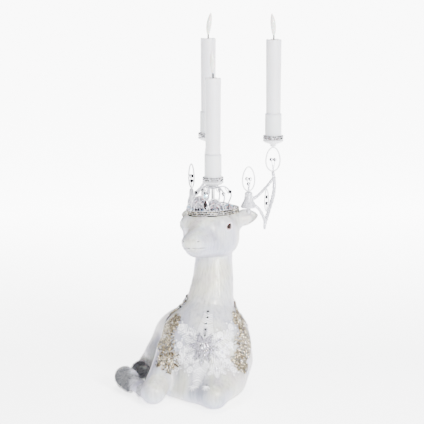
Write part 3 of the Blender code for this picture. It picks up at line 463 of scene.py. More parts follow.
LOOKS = {
    "pearl": pearl_resin(),
    "white_glitter": glitter(
        "white_glitter", (0.40, 0.40, 0.44), (0.95, 0.95, 1.0), (0.14, 0.14, 0.17), 0.3),
    "silver_glitter": glitter(
        "silver_glitter", (0.26, 0.25, 0.29), (0.80, 0.78, 0.86), (0.05, 0.045, 0.06), 0.6),
    "gold_glitter": glitter(
        "gold_glitter", (0.34, 0.29, 0.21), (0.90, 0.80, 0.62), (0.07, 0.055, 0.04), 0.65),
    "thread": glitter("flake_thread", (0.84, 0.84, 0.86), (1.0, 1.0, 1.0), (0.62, 0.62, 0.66), 0.05),
    "white_metal": enamel("white_enamel", (0.50, 0.50, 0.52), (0.66, 0.66, 0.68)),
    "bezel": enamel("bezel_metal", (0.50, 0.50, 0.53), (0.78, 0.78, 0.80), 0.2, 0.8, 300),
    "stone_light": stone("stone_light", (0.55, 0.55, 0.60), (0.95, 0.95, 0.98), metallic=0.6),
    "stone_mid": stone("stone_mid", (0.12, 0.12, 0.145), (0.30, 0.29, 0.33), coat=0.4),
    "stone_dark": stone("stone_dark", (0.004, 0.004, 0.005), (0.020, 0.018, 0.022), coat=0.1),
    "stone_jet": stone("stone_jet", (0.001, 0.001, 0.001), (0.004, 0.004, 0.005), metallic=0.8, coat=0.05),
    "stone_brown": stone("stone_brown", (0.025, 0.018, 0.010), (0.090, 0.068, 0.038), coat=0.15),
    "stone_champagne": stone("stone_champagne", (0.30, 0.25, 0.16), (0.66, 0.60, 0.46), coat=0.3),
    "stone_wine": stone("stone_wine", (0.06, 0.012, 0.016), (0.22, 0.06, 0.06), coat=0.2),
    "stone_lilac": stone("stone_lilac", (0.20, 0.18, 0.26), (0.46, 0.43, 0.54), coat=0.4),
    "stone_blue": stone("stone_blue", (0.006, 0.035, 0.090), (0.03, 0.18, 0.34), coat=0.4),
    "stone_aqua": stone("stone_aqua", (0.12, 0.32, 0.42), (0.46, 0.70, 0.80), coat=0.6),
    "stone_pink": stone("stone_pink", (0.34, 0.16, 0.16), (0.62, 0.40, 0.38), coat=0.4),
    "gold_bead": stone("gold_bead", (0.10, 0.075, 0.042), (0.34, 0.27, 0.17), 0.25, 0.85, 0.1),
    "gold_light": stone("gold_light", (0.38, 0.33, 0.24), (0.78, 0.71, 0.56), 0.18, 0.8, 0.3),
    "wax": wax("candle_wax", (0.50, 0.495, 0.525), (0.58, 0.575, 0.59)),
    "wax_cup": wax("cup_wax", (0.48, 0.485, 0.50), (0.56, 0.56, 0.572)),
    "seam": wax("sleeve_seam", (0.42, 0.42, 0.46), (0.52, 0.52, 0.56)),
    "flame": flame_plastic(),
    "wick": wick_cord(),
    "grey_fur": fur("grey_fur", (0.07, 0.072, 0.080), (0.34, 0.345, 0.37)),
    "dark_fur": fur("dark_fur", (0.012, 0.012, 0.014), (0.10, 0.10, 0.115)),
    "white_fur": fur("white_fur", (0.34, 0.34, 0.38), (0.70, 0.70, 0.74)),
    "lid": enamel("eyelid_paint", (0.10, 0.055, 0.045), (0.22, 0.13, 0.11), 0.4),
    "felt": felt(),
    "steel": brushed_steel(),
    "plastic": moulded_plastic(),
    "battery": battery_foil(),
    "eye": glass_eye(),
}

# ---------------------------------------------------------------- building meshes


class Builder:
    """Collects many small shapes into one mesh with several materials."""

    def __init__(self):
        self.points, self.faces, self.looks, self.used = [], [], [], []

    def look(self, name):
        if name not in self.used:
            self.used.append(name)
        return self.used.index(name)

    def add(self, points, faces, looks):
        """looks is one look for all the faces, or one for each."""
        start = len(self.points)
        self.points.extend(points)
        self.faces.extend(tuple(i + start for i in face) for face in faces)
        if isinstance(looks, str):
            looks = [looks] * len(faces)
        self.looks.extend(self.look(name) for name in looks)

    def object(self, name, body="figure", smooth=40, replaces=()):
        mesh = bpy.data.meshes.new(name)
        mesh.from_pydata([tuple(p) for p in self.points], [], self.faces)
        for look in self.used:
            mesh.materials.append(LOOKS[look])
        mesh.polygons.foreach_set("material_index", self.looks)
        mesh.update()
        return shown(name, mesh, body, smooth, replaces)


def shown(name, mesh, body, smooth=40, replaces=()):
    """Puts a mesh in the scene, riding on its body."""
    obj = bpy.data.objects.new(name, mesh)
    bpy.context.scene.collection.objects.link(obj)
    bm = bmesh.new()
    bm.from_mesh(mesh)
    bmesh.ops.recalc_face_normals(bm, faces=bm.faces)
    bm.to_mesh(mesh)
    bm.free()
    if smooth:
        mesh.shade_smooth()
        mesh.set_sharp_from_angle(angle=math.radians(smooth))
    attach(obj, body)
    if replaces:
        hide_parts(*replaces)
    return obj


def frame_of(normal):
    """Sideways, upwards and outwards axes for a surface that faces along normal."""
    normal = Vector(normal).normalized()
    across = Vector((0, 0, 1)).cross(normal)
    if across.length < 1e-4:
        across = Vector((1, 0, 0)).cross(normal)
    across.normalize()
    return across, normal.cross(across), normal


def placed(points, middle, normal):
    across, upward, outward = frame_of(normal)
    return [middle + across * x + upward * y + outward * z for x, y, z in points]


def quads(rows, across, wrap=True):
    """Faces between rows of points, each row across points long and closed on itself if wrap."""
    faces = []
    for i in range(rows):
        for k in range(across if wrap else across - 1):
            a, b = i * across + k, i * across + (k + 1) % across
            faces.append((a, b, b + across, a + across))
    return faces


def tube(builder, path, radii, look, sides=8, closed=False, flat=1.0, normals=None):
    """A round bar along a path. With normals it is flattened towards the surface it lies on."""
    path = [Vector(p) for p in path]
    count = len(path)
    radii = [radii] * count if isinstance(radii, (int, float)) else [float(r) for r in radii]
    points = []
    last = None
    for i, p in enumerate(path):
        before = path[i - 1] if i or closed else p
        after = path[(i + 1) % count] if i < count - 1 or closed else p
        along = (after - before).normalized()
        if normals:
            out = normals[i]
        elif last is None:
            out = along.orthogonal()
        else:
            out = last
        out = (out - along * out.dot(along)).normalized()
        last = out.copy()
        side = along.cross(out)
        for k in range(sides):
            turn = 2 * math.pi * k / sides
            points.append(p + radii[i] * (math.cos(turn) * side + flat * math.sin(turn) * out))
    faces = quads(count if closed else count - 1, sides)
    faces = [tuple(k % (count * sides) for k in face) for face in faces]
    if not closed:
        faces.append(tuple(range(sides)))
        faces.append(tuple(reversed(range((count - 1) * sides, count * sides))))
    builder.add(points, faces, look)


def lathe(builder, profile, look, middle=(0, 0, 0), steps=48, closed=False):
    """A (radius, height) outline turned about an upright axis through middle."""
    middle = Vector(middle)
    points, faces, rows = [], [], []
    for radius, z in profile:
        if radius < 1e-6:
            rows.append([len(points)] * steps)
            points.append(middle + Vector((0, 0, z)))
            continue
        rows.append(list(range(len(points), len(points) + steps)))
        for k in range(steps):
            turn = 2 * math.pi * k / steps
            points.append(middle + Vector((radius * math.cos(turn), radius * math.sin(turn), z)))
    pairs = list(zip(rows, rows[1:])) + ([(rows[-1], rows[0])] if closed else [])
    for low, high in pairs:
        for k in range(steps):
            j = (k + 1) % steps
            corners = [low[k], low[j], high[j], high[k]]
            faces.append(tuple(dict.fromkeys(corners)))
    builder.add(points, [f for f in faces if len(f) > 2], look)


def gem(builder, middle, normal, radius, palette, sides=8, outline=None, depth=0.55, table=None):
    """A cut stone: table, two rows of crown facets, girdle and a blunt back."""
    outline = outline or [
        (math.cos(2 * math.pi * (k + 0.5) / sides), math.sin(2 * math.pi * (k + 0.5) / sides))
        for k in range(sides)
    ]
    sides = len(outline)
    levels = ((0.52, 0.44), (0.82, 0.28), (1.0, 0.0), (0.55, -depth))
    points = [(x * s * radius, y * s * radius, z * radius) for s, z in levels for x, y in outline]
    # Facets take colours from the palette at random, so one stone's lighter and darker facets are painted
    # reflections; a light table is a painted highlight
    faces, looks = [tuple(range(sides))], [table or rng.choice(palette)]
    for row in range(3):
        for k in range(sides):
            a, b = row * sides + k, row * sides + (k + 1) % sides
            faces.append((a, a + sides, b + sides, b))
            looks.append(rng.choice(palette))
    faces.append(tuple(range(4 * sides - 1, 3 * sides - 1, -1)))
    looks.append(palette[0])
    builder.add(placed(points, Vector(middle), normal), faces, looks)


def bezel(builder, middle, normal, radius):
    """The metal collar round a set stone."""
    across, upward, _ = frame_of(normal)
    ring = [
        Vector(middle) + (across * math.cos(t) + upward * math.sin(t)) * radius
        for t in (2 * math.pi * k / 20 for k in range(20))
    ]
    tube(builder, ring, radius * 0.16, "bezel", 6, closed=True)


def jewel(builder, middle, normal, radius, palette, table=None):
    """A round stone in its collar."""
    bezel(builder, middle, normal, radius * 1.04)
    gem(builder, middle, normal, radius, palette, sides=10, table=table)


def bead(builder, middle, radius, look, steps=8):
    points, faces = [], []
    rings = steps // 2
    for i in range(1, rings):
        tilt = math.pi * i / rings
        for k in range(steps):
            turn = 2 * math.pi * k / steps
            points.append(middle + radius * Vector((
                math.sin(tilt) * math.cos(turn), math.sin(tilt) * math.sin(turn), math.cos(tilt))))
    top, bottom = len(points), len(points) + 1
    points += [middle + Vector((0, 0, radius)), middle - Vector((0, 0, radius))]
    for i in range(rings - 2):
        for k in range(steps):
            a, b = i * steps + k, i * steps + (k + 1) % steps
            faces.append((a, a + steps, b + steps, b))
    for k in range(steps):
        j = (k + 1) % steps
        faces.append((top, k, j))
        low = (rings - 2) * steps
        faces.append((bottom, low + j, low + k))
    builder.add(points, faces, look)


def smooth_path(corners, steps):
    """A Catmull-Rom curve through the corners."""
    corners = [Vector(c) for c in corners]
    path = []
    for i in range(len(corners) - 1):
        a, b = corners[max(i - 1, 0)], corners[i]
        c, d = corners[i + 1], corners[min(i + 2, len(corners) - 1)]
        for k in range(steps):
            t = k / steps
            path.append(0.5 * (
                2 * b + (c - a) * t + (2 * a - 5 * b + 4 * c - d) * t * t
                + (3 * b - a - 3 * c + d) * t**3))
    path.append(corners[-1])
    return path


# ---------------------------------------------------------------- the casting

VOXEL = 0.0013
NEAR_SKIN = 0.0018  # vertices this near the true surface are moved onto it


def ramp_down(distance, reach):
    """1 at distance 0, falling smoothly to 0 at reach."""
    t = np.clip(1 - distance / reach, 0, 1)
    return t * t * (3 - 2 * t)


def line_distance(points, path):
    """Distance of points from a line through the path, and the share of the way along it."""
    best, share = np.full(len(points), 1e3), np.zeros(len(points))
    for i, (a, b) in enumerate(zip(path, path[1:])):
        a, b = np.array(a), np.array(b)
        t = np.clip((points - a) @ (b - a) / ((b - a) @ (b - a)), 0, 1)
        d = np.linalg.norm(points - a - t[:, None] * (b - a), axis=1)
        nearer = d < best
        best[nearer] = d[nearer]
        share[nearer] = (i + t[nearer]) / (len(path) - 1)
    return best, share


MOUTH = (
    (0.0215, -0.044, 0.2200), (0.0200, -0.060, 0.2188), (0.0140, -0.076, 0.2190),
    (0.0000, -0.085, 0.2196), (-0.0140, -0.076, 0.2190), (-0.0200, -0.060, 0.2188),
    (-0.0215, -0.044, 0.2200),
)
NOSTRIL = (0.0115, -0.0825, 0.2300)


def mesh_arrays(mesh):
    points = np.empty(len(mesh.vertices) * 3, np.float32)
    normals = np.empty(len(mesh.vertices) * 3, np.float32)
    mesh.vertices.foreach_get("co", points)
    mesh.vertices.foreach_get("normal", normals)
    return points.reshape(-1, 3).astype(float), normals.reshape(-1, 3).astype(float)


def set_points(mesh, points):
    mesh.vertices.foreach_set("co", points.astype(np.float32).ravel())
    mesh.update()


def add_attribute(mesh, name, values):
    attribute = mesh.attributes.new(name, "FLOAT", "POINT")
    attribute.data.foreach_set("value", np.clip(values, 0, 1).astype(np.float32))


def even_skin():
    """The solid's shape as an even mesh."""
    bm = bmesh.new()
    bm.from_mesh(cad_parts["body_casting"].data)
    bmesh.ops.remove_doubles(bm, verts=bm.verts, dist=1e-6)
    rough = bpy.data.meshes.new("casting_blank")
    bm.to_mesh(rough)
    bm.free()
    blank = bpy.data.objects.new("casting_blank", rough)
    bpy.context.scene.collection.objects.link(blank)
    remesh = blank.modifiers.new("even", "REMESH")
    remesh.mode = "VOXEL"
    remesh.voxel_size = VOXEL
    graph = bpy.context.evaluated_depsgraph_get()
    mesh = bpy.data.meshes.new_from_object(blank.evaluated_get(graph))
    bpy.data.objects.remove(blank)
    return mesh


def finer_head(mesh):
    """Halves the faces of the face, where the features are fine."""
    to_head = head_matrix().inverted()
    bm = bmesh.new()
    bm.from_mesh(mesh)
    edges = []
    for edge in bm.edges:
        spot = to_head @ ((edge.verts[0].co + edge.verts[1].co) / 2)
        if spot.y < -0.012 and 0.200 < spot.z < 0.2555:
            edges.append(edge)
    bmesh.ops.subdivide_edges(bm, edges=edges, cuts=1, use_grid_fill=True)
    bm.to_mesh(mesh)
    bm.free()


def on_true_surface(points):
    """Which points belong to the outer skin, away from the ears, the cuts and the floor."""
    reach = np.abs(casting_distance(points))
    radius = np.hypot(points[:, 0], (points[:, 1] - CROWN_BACK) / CROWN_STRETCH)
    seat = (points[:, 2] > CROWN_LOW - 0.003) & (radius > CROWN_INNER - 0.003)
    return (reach < NEAR_SKIN) & (points[:, 2] > BASE_Z + 0.0012) & ~seat


def smoothed(mesh, points, free, rounds):
    """Evens out the free points towards their neighbours."""
    ends = np.empty(len(mesh.edges) * 2, np.int32)
    mesh.edges.foreach_get("vertices", ends)
    a, b = ends.reshape(-1, 2).T
    degree = np.bincount(np.concatenate([a, b]), minlength=len(points))[:, None]
    for _ in range(rounds):
        total = np.zeros_like(points)
        np.add.at(total, a, points[b])
        np.add.at(total, b, points[a])
        points = np.where(free[:, None], 0.5 * points + 0.5 * total / np.maximum(degree, 1), points)
    return points


def casting():
    mesh = even_skin()
    finer_head(mesh)
    points, _ = mesh_arrays(mesh)
    skin = on_true_surface(points)
    points[skin] = onto_casting(points[skin], rounds=3)
    high = points[:, 2] > 0.2415
    points = smoothed(mesh, points, ~skin & high & (np.hypot(points[:, 0], points[:, 1]) > 0.02), 3)
    set_points(mesh, points)
    points, normals = mesh_arrays(mesh)

    to_head = np.array(head_matrix().inverted())
    local = points @ to_head[:3, :3].T + to_head[:3, 3]
    mirrored = local * (np.sign(local[:, :1]) * np.array([[1, 0, 0]]) + np.array([[0, 1, 1]]))
    in_head = (local[:, 2] > 0.20) & (local[:, 1] < 0.01)
    push = np.zeros(len(points))

    mouth, _ = line_distance(local, MOUTH)
    push -= 0.00115 * ramp_down(mouth, 0.0022) * in_head
    lip = line_distance(local + np.array([[0, 0, -0.0028]]), MOUTH)[0]
    push += 0.0007 * ramp_down(lip, 0.0032) * in_head
    under = line_distance(local + np.array([[0, 0, 0.0030]]), MOUTH)[0]
    push += 0.0004 * ramp_down(under, 0.0034) * in_head
    nostril = np.linalg.norm((mirrored - np.array(NOSTRIL)) / np.array([1.25, 1, 0.8]), axis=1)
    push -= 0.0016 * ramp_down(nostril, 0.0028)
    push += 0.0006 * (ramp_down(nostril, 0.0055) - ramp_down(nostril, 0.0032))
    eye = np.linalg.norm((mirrored - np.array(EYE)) / np.array([1, 1.2, 1.0]), axis=1)
    push += 0.0013 * ramp_down(np.abs(eye - 0.0060), 0.0022) * (eye < 0.0085)
    socket = np.linalg.norm(mirrored - (np.array(EYE) + np.array([-0.002, -0.013, -0.004])), axis=1)
    push -= 0.0012 * ramp_down(socket, 0.010)
    cheek = np.linalg.norm((mirrored - np.array([0.030, -0.012, 0.2180])) / np.array([1, 1.4, 1]), axis=1)
    push += 0.0010 * ramp_down(cheek, 0.013) * in_head

    rng_np = np.random.default_rng(5)
    comb = (
        np.sin(np.arctan2(points[:, 0], -points[:, 1] - 0.004) * 46 + 3 * np.sin(points[:, 2] * 75))
        * np.sin(points[:, 2] * 210 + 5 * np.sin(points[:, 0] * 160))
    )
    neck = (points[:, 2] > 0.10) & (points[:, 2] < 0.205) & skin
    fade = ramp_down(np.abs(points[:, 2] - 0.155), 0.055)
    push += 0.00028 * comb * neck * fade
    push += rng_np.normal(0, 0.00003, len(points)) * skin

    for a, b, depth, reach in HOOF_CREASES:
        crease, _ = line_distance(points, (a, b))
        push -= depth * ramp_down(crease, reach)

    moved = points + normals * np.where(skin | in_head, push, 0)[:, None]
    moved[:, 2] = np.maximum(moved[:, 2], BASE_Z)
    set_points(mesh, moved)

    # Painted shade: darkens the mouth line and the nostrils
    dark = 0.95 * ramp_down(mouth, 0.0015) + 0.95 * ramp_down(nostril, 0.0023)
    dark *= in_head
    add_attribute(mesh, "crease", dark)
    # Grey paint on the hooves, and painted shade on the flanks and low on the chest
    hoof_paint_and_shade = np.zeros(len(points))
    for middle, radii, weight in HOOF_PAINT_AND_SHADE:
        reach = np.linalg.norm((points - np.array(middle)) / np.array(radii), axis=1)
        hoof_paint_and_shade = np.maximum(hoof_paint_and_shade, weight * ramp_down(reach, 1.0))
    add_attribute(mesh, "hoof_paint_and_shade", hoof_paint_and_shade)
    lids = ramp_down(np.abs(eye - 0.0052), 0.0018) * 0.9
    inner_ear = np.linalg.norm(mirrored - np.array([0.041, 0.020, 0.2470]), axis=1)
    add_attribute(mesh, "blush", np.maximum(lids, 0.35 * ramp_down(inner_ear, 0.016)))
    mesh.materials.clear()
    mesh.materials.append(LOOKS["pearl"])
    return shown("reindeer_body", mesh, "figure", 50, ["body_casting"])


# Creases on the feet: ends, depth and half width
HOOF_CREASES = (
    ((-0.114, -0.030, 0.030), (-0.100, -0.014, 0.008), 0.0016, 0.0026),
    ((-0.135, 0.010, 0.030), (-0.112, 0.012, 0.004), 0.0012, 0.0022),
)
# Grey paint on the feet, and painted shade on the flanks and low on the chest: middle, radii and strength
HOOF_PAINT_AND_SHADE = (
    ((-0.128, -0.004, 0.014), (0.024, 0.026, 0.022), 0.85),
    ((-0.106, 0.046, 0.014), (0.020, 0.030, 0.020), 0.85),
    ((0.036, 0.060, 0.012), (0.018, 0.024, 0.018), 0.70),
    ((-0.056, -0.046, 0.008), (0.016, 0.018, 0.014), 0.50),
    # Painted shade: the two flanks and the chest low between the forelegs
    ((-0.080, 0.055, 0.060), (0.050, 0.080, 0.050), 0.40),
    ((0.062, 0.060, 0.050), (0.050, 0.080, 0.050), 0.25),
    ((-0.010, -0.110, 0.030), (0.060, 0.040, 0.030), 0.30),
)

body = casting()
graph = bpy.context.evaluated_depsgraph_get()
SKIN = BVHTree.FromObject(body, graph)


def on_skin(spot):
    """The nearest place on the casting and the way it faces."""
    place, normal, _, _ = SKIN.find_nearest(Vector(spot))
    return place, normal


def smooth_normal(spot):
    """How the skin faces, averaged over a few millimetres."""
    total = Vector((0, 0, 0))
    for dx, dy, dz in ((0, 0, 0), (3, 0, 0), (-3, 0, 0), (0, 3, 0), (0, -3, 0), (0, 0, 3), (0, 0, -3)):
        total += on_skin(Vector(spot) + Vector((dx, dy, dz)) * 0.001)[1]
    return total.normalized()


# ---------------------------------------------------------------- face


def eyes():
    """Glossy glass eyes with painted lids round them."""
    for side, word in ((1, "left"), (-1, "right")):
        middle = Vector((side * EYE[0], *EYE[1:]))
        outward = Vector((side * 0.90, -0.42, 0.06)).normalized()
        b = Builder()
        steps, rings = 28, 18
        points = []
        for i in range(rings + 1):
            tilt = math.pi * i / rings
            bulge = 1 + 0.05 * math.exp(-((tilt / 0.7) ** 2))
            for k in range(steps):
                turn = 2 * math.pi * k / steps
                points.append(Vector((
                    math.sin(tilt) * math.cos(turn), math.sin(tilt) * math.sin(turn),
                    math.cos(tilt) * bulge)) * (EYE_RADIUS + 0.0002))
        faces = [(p, s, r, q) for p, q, r, s in quads(rings, steps)]
        b.add(placed(points, middle, outward), faces, "eye")
        for lid, lift in ((1, 0.0), (-1, 0.0002)):
            arc = []
            for k in range(15):
                turn = math.pi * k / 14
                across = 0.0044 * math.cos(turn)
                high = lid * 0.0040 * math.sin(turn) ** 0.8
                depth = 0.0030 - 0.15 * abs(across) + lift
                arc.append((across, high, depth))
            radii = [0.00018 + 0.00042 * math.sin(math.pi * k / 14) for k in range(15)]
            tube(b, placed(arc, middle, outward), radii, "lid", 8)
        b.points = [head_matrix() @ p for p in b.points]
        obj = b.object(f"eyeball_{word}", smooth=60, replaces=[f"eye_{word}"])
        weld(obj)


EAR_ROOT, EAR_TIP = (0.0290, 0.0165, 0.2450), (0.0590, 0.0265, 0.2505)
EAR_HALF_WIDTH, EAR_CUP, EAR_THICKNESS = 0.0118, 0.0052, 0.0026


def ears():
    """A cupped leaf over each ear stub, hollow side forward."""
    steps, across = 18, 12
    for side, word in ((1, "left"), (-1, "right")):
        root, tip = (Vector((side * x, y, z)) for x, y, z in (EAR_ROOT, EAR_TIP))
        along = tip - root
        back = along.cross(Vector((0, 0, side))).normalized()
        up = back.cross(along).normalized()
        up, back = up * math.copysign(1, up.z), back * math.copysign(1, back.y)
        points = []
        for layer in (0, 1):
            for i in range(steps + 1):
                t = i / steps
                width = EAR_HALF_WIDTH * math.sin(math.pi * min(1, 0.14 + 0.86 * t**0.85)) ** 0.62
                middle = root + along * t + up * (0.0010 * math.sin(3 * t))
                for k in range(across + 1):
                    s = 2 * k / across - 1
                    depth = EAR_CUP * (1 - s * s) * math.sin(math.pi * min(1, 0.2 + 0.8 * t)) ** 0.5
                    depth += layer * (0.0006 + EAR_THICKNESS * (1 - s * s))
                    points.append(middle + up * (s * max(width, 0.0004)) + back * depth)
        row, sheet = across + 1, (across + 1) * (steps + 1)
        faces = quads(steps, row, wrap=False)
        faces += [(sheet + p, sheet + s, sheet + r, sheet + q) for p, q, r, s in faces]
        ends = [(i * row + k, 1) for i in (0, steps) for k in range(across)]
        sides = [(i * row + k, row) for k in (0, across) for i in range(steps)]
        faces += [(a, a + step, sheet + a + step, sheet + a) for a, step in sides + ends]
        b = Builder()
        b.add([head_matrix() @ p for p in points], faces, "pearl")
        b.object(f"ear_leaf_{word}", smooth=60)


def weld(obj, distance=1e-6):
    bm = bmesh.new()
    bm.from_mesh(obj.data)
    bmesh.ops.remove_doubles(bm, verts=bm.verts, dist=distance)
    bm.to_mesh(obj.data)
    bm.free()


# ---------------------------------------------------------------- crown

BAND_STONE = 0.00132  # radius of the band's stones
TIARA_STONE = 0.00125


def crown_spot(angle, radius, z):
    return Vector((radius * math.sin(angle), CROWN_BACK - CROWN_STRETCH * radius * math.cos(angle), z))


def crown_facing(angle):
    return Vector((math.sin(angle) * CROWN_STRETCH, -math.cos(angle), 0)).normalized()


def in_crown(spot, facing):
    matrix = crown_matrix()
    return matrix @ spot, matrix.to_3x3() @ facing


BAND_PALETTES = (
    ["stone_dark", "stone_brown", "stone_champagne", "stone_brown", "stone_jet"],
    ["stone_champagne", "stone_brown", "stone_jet", "stone_champagne", "stone_light"],
    ["stone_dark", "stone_jet", "stone_brown", "stone_jet"],
    ["stone_brown", "stone_jet", "stone_champagne", "stone_dark"],
)


def crown_band():
    """Three close rows of stones on a metal band."""
    b = Builder()
    profile = [
        (CROWN_OUTER - 0.0004, CROWN_HIGH), (CROWN_OUTER - 0.0004, CROWN_LOW),
        (CROWN_INNER, CROWN_LOW), (CROWN_INNER, CROWN_HIGH),
    ]
    ring = Builder()
    lathe(ring, profile, "bezel", steps=96, closed=True)
    place = Matrix.Translation((0, CROWN_BACK, 0)) @ Matrix.Diagonal((1, CROWN_STRETCH, 1, 1))
    b.add([crown_matrix() @ place @ p for p in ring.points], ring.faces, "bezel")
    around = 92
    for row in range(3):
        z = CROWN_LOW + 0.0014 + row * 0.0026
        for k in range(around):
            angle = 2 * math.pi * (k + 0.5 * (row % 2)) / around
            spot, facing = in_crown(crown_spot(angle, CROWN_OUTER + 0.0001, z), crown_facing(angle))
            gem(b, spot, facing, BAND_STONE, rng.choice(BAND_PALETTES), sides=8)
    b.object("crown_rhinestone_band", smooth=0, replaces=["crown_band"])


# The tiara's arches: middle, half width (degrees from its front, to the left) and height
ARCHES = ((-16, 24, 0.0222), (17, 21, 0.0176), (50, 20, 0.0088), (-52, 15, 0.0090))
TIARA_RIGHT, TIARA_LEFT = -64, 68


def tiara_height(degrees):
    """Height of the tiara's edge above the band."""
    arches = [h * max(0.0, 1 - ((degrees - a) / w) ** 2) ** 0.62 for a, w, h in ARCHES]
    return max(arches + [0.0022])


TIARA_PALETTES = {
    "right": (["stone_blue", "stone_lilac", "stone_mid"], ["stone_aqua", "stone_light", "stone_blue"],
              ["stone_dark", "stone_lilac", "stone_light"]),
    "left": (["stone_jet", "stone_dark", "stone_mid"], ["stone_aqua", "stone_light", "stone_mid"],
             ["stone_jet", "stone_aqua", "stone_lilac"], ["stone_wine", "stone_pink", "stone_mid"]),
    "foot": (["stone_jet", "stone_dark"], ["stone_jet", "stone_mid", "stone_blue"]),
    "domes": (["stone_lilac", "stone_light", "stone_mid"], ["stone_mid", "stone_mid", "stone_dark"],
              ["stone_light", "stone_lilac", "stone_mid"], ["stone_mid", "stone_light", "stone_jet"]),
}


def tiara_palette(degrees, height):
    if degrees < -34:
        return rng.choice(TIARA_PALETTES["right"])
    if degrees > 36:
        return rng.choice(TIARA_PALETTES["left"])
    if height < 0.0035:
        return rng.choice(TIARA_PALETTES["foot"])
    if rng.random() < 0.12:
        return ["stone_pink", "stone_wine", "stone_lilac"]
    return rng.choice(TIARA_PALETTES["domes"])


def tiara():
    """A plate with wire-edged arches, paved with small stones."""
    b = Builder()
    middle_radius = (CROWN_INNER + CROWN_OUTER) / 2
    columns = 130
    half = 0.0005
    rows, edge = [], []
    for i in range(columns + 1):
        degrees = TIARA_RIGHT + (TIARA_LEFT - TIARA_RIGHT) * i / columns
        angle = math.radians(degrees)
        top = TIARA_FOOT + tiara_height(degrees) - 0.0006
        for radius, z in ((middle_radius + half, TIARA_FOOT), (middle_radius + half, top),
                          (middle_radius - half, top), (middle_radius - half, TIARA_FOOT)):
            rows.append(crown_matrix() @ crown_spot(angle, radius, z))
        edge.append(crown_matrix() @ crown_spot(angle, middle_radius, top))
    faces = quads(columns, 4) + [(0, 1, 2, 3), tuple(4 * columns + k for k in (3, 2, 1, 0))]
    b.add(rows, faces, "silver_glitter")
    tube(b, edge, 0.00072, "white_glitter", 6)
    step = 0.00240
    across = math.degrees(step / middle_radius)
    count = int((TIARA_LEFT - TIARA_RIGHT) / across)
    for i in range(count + 1):
        degrees = TIARA_RIGHT + across * i
        height = tiara_height(degrees)
        for level in range(12):
            z = 0.0012 + level * step * 0.92 + 0.5 * step * (i % 2)
            if z > height - 0.0007 or (abs(degrees) < 4.5 and 0.0035 < z < 0.0155):
                continue
            spot, facing = in_crown(
                crown_spot(math.radians(degrees), middle_radius + 0.0011, TIARA_FOOT + z),
                crown_facing(math.radians(degrees)))
            gem(b, spot, facing, TIARA_STONE * rng.uniform(0.88, 1.04), tiara_palette(degrees, z))
    for a, w, h in ARCHES[:2]:
        for lift, share in ((0.0012, 1.0), (0.0010, 0.62)):
            scroll = []
            for k in range(21):
                t = 2 * k / 20 - 1
                z = TIARA_FOOT + h * share * max(0.0, 1 - t * t) ** 0.62 - 0.0008
                angle = math.radians(a + w * share * t)
                scroll.append(crown_matrix() @ crown_spot(angle, middle_radius + lift, max(z, TIARA_FOOT)))
            tube(b, scroll, 0.00062, "white_metal", 6)
    b.object("tiara_pave", smooth=0, replaces=["tiara"])


def tiara_gems():
    """The pear-shaped stone, black on one side and clear on the other, and the round one over it."""
    front = (CROWN_INNER + CROWN_OUTER) / 2 + 0.0030
    outline = []
    steps = 20
    for k in range(steps):
        turn = 2 * math.pi * (k + 0.5) / steps
        narrow = 1 if math.cos(turn) < 0 else 1 - 0.45 * math.cos(turn)
        outline.append((0.56 * math.sin(turn) * narrow, math.cos(turn)))
    outline.reverse()
    b = Builder()
    spot, facing = in_crown(crown_spot(0, front, 0.2735), crown_facing(0))
    gem(b, spot, facing, 0.0064, ["stone_jet"], outline=outline, depth=0.28)
    across = frame_of(facing)[0]
    for i, face in enumerate(b.faces):
        middle = sum((b.points[k] for k in face), Vector()) / len(face)
        offset = (middle - spot).dot(across)
        if offset > 0.0011:
            b.looks[i] = b.look(rng.choice(("stone_light", "stone_light", "stone_mid")))
        elif rng.random() < 0.12:
            b.looks[i] = b.look("stone_wine")
    rim = [Vector((x * 0.0067, y * 0.0067, 0)) for x, y in outline]
    tube(b, placed(rim, spot, facing), 0.00050, "bezel", 6, closed=True)
    b.object("tiara_pear_stone", smooth=0, replaces=["tiara_drop_gem"])
    b = Builder()
    spot, facing = in_crown(crown_spot(0, front, 0.2863), crown_facing(0))
    gem(b, spot, facing, 0.0031, ["stone_blue", "stone_aqua", "stone_aqua", "stone_light"], sides=12)
    bezel(b, spot, facing, 0.0032)
    for k in range(5):
        angle, z = -0.16 + 0.028 * k, 0.2862 + 0.0012 * math.sin(k)
        if abs(angle) < 0.05:
            continue
        side_spot, side_facing = in_crown(crown_spot(angle, front - 0.0004, z), crown_facing(angle))
        gem(b, side_spot, side_facing, 0.0013, ["stone_aqua", "stone_light", "stone_pink"])
    b.object("tiara_round_stone", smooth=0, replaces=["tiara_round_gem"])


CAGE_TOP, CAGE_FOOT = CENTRE_CUP_Z - 0.0095, 0.2695
CAGE_SIDE = (
    (0.0056, CAGE_TOP), (0.0160, CAGE_TOP + 0.0010), (0.0235, CAGE_TOP - 0.0050),
    (0.0260, CAGE_TOP - 0.0125), (0.0215, CAGE_FOOT),
)
RIBS = 6


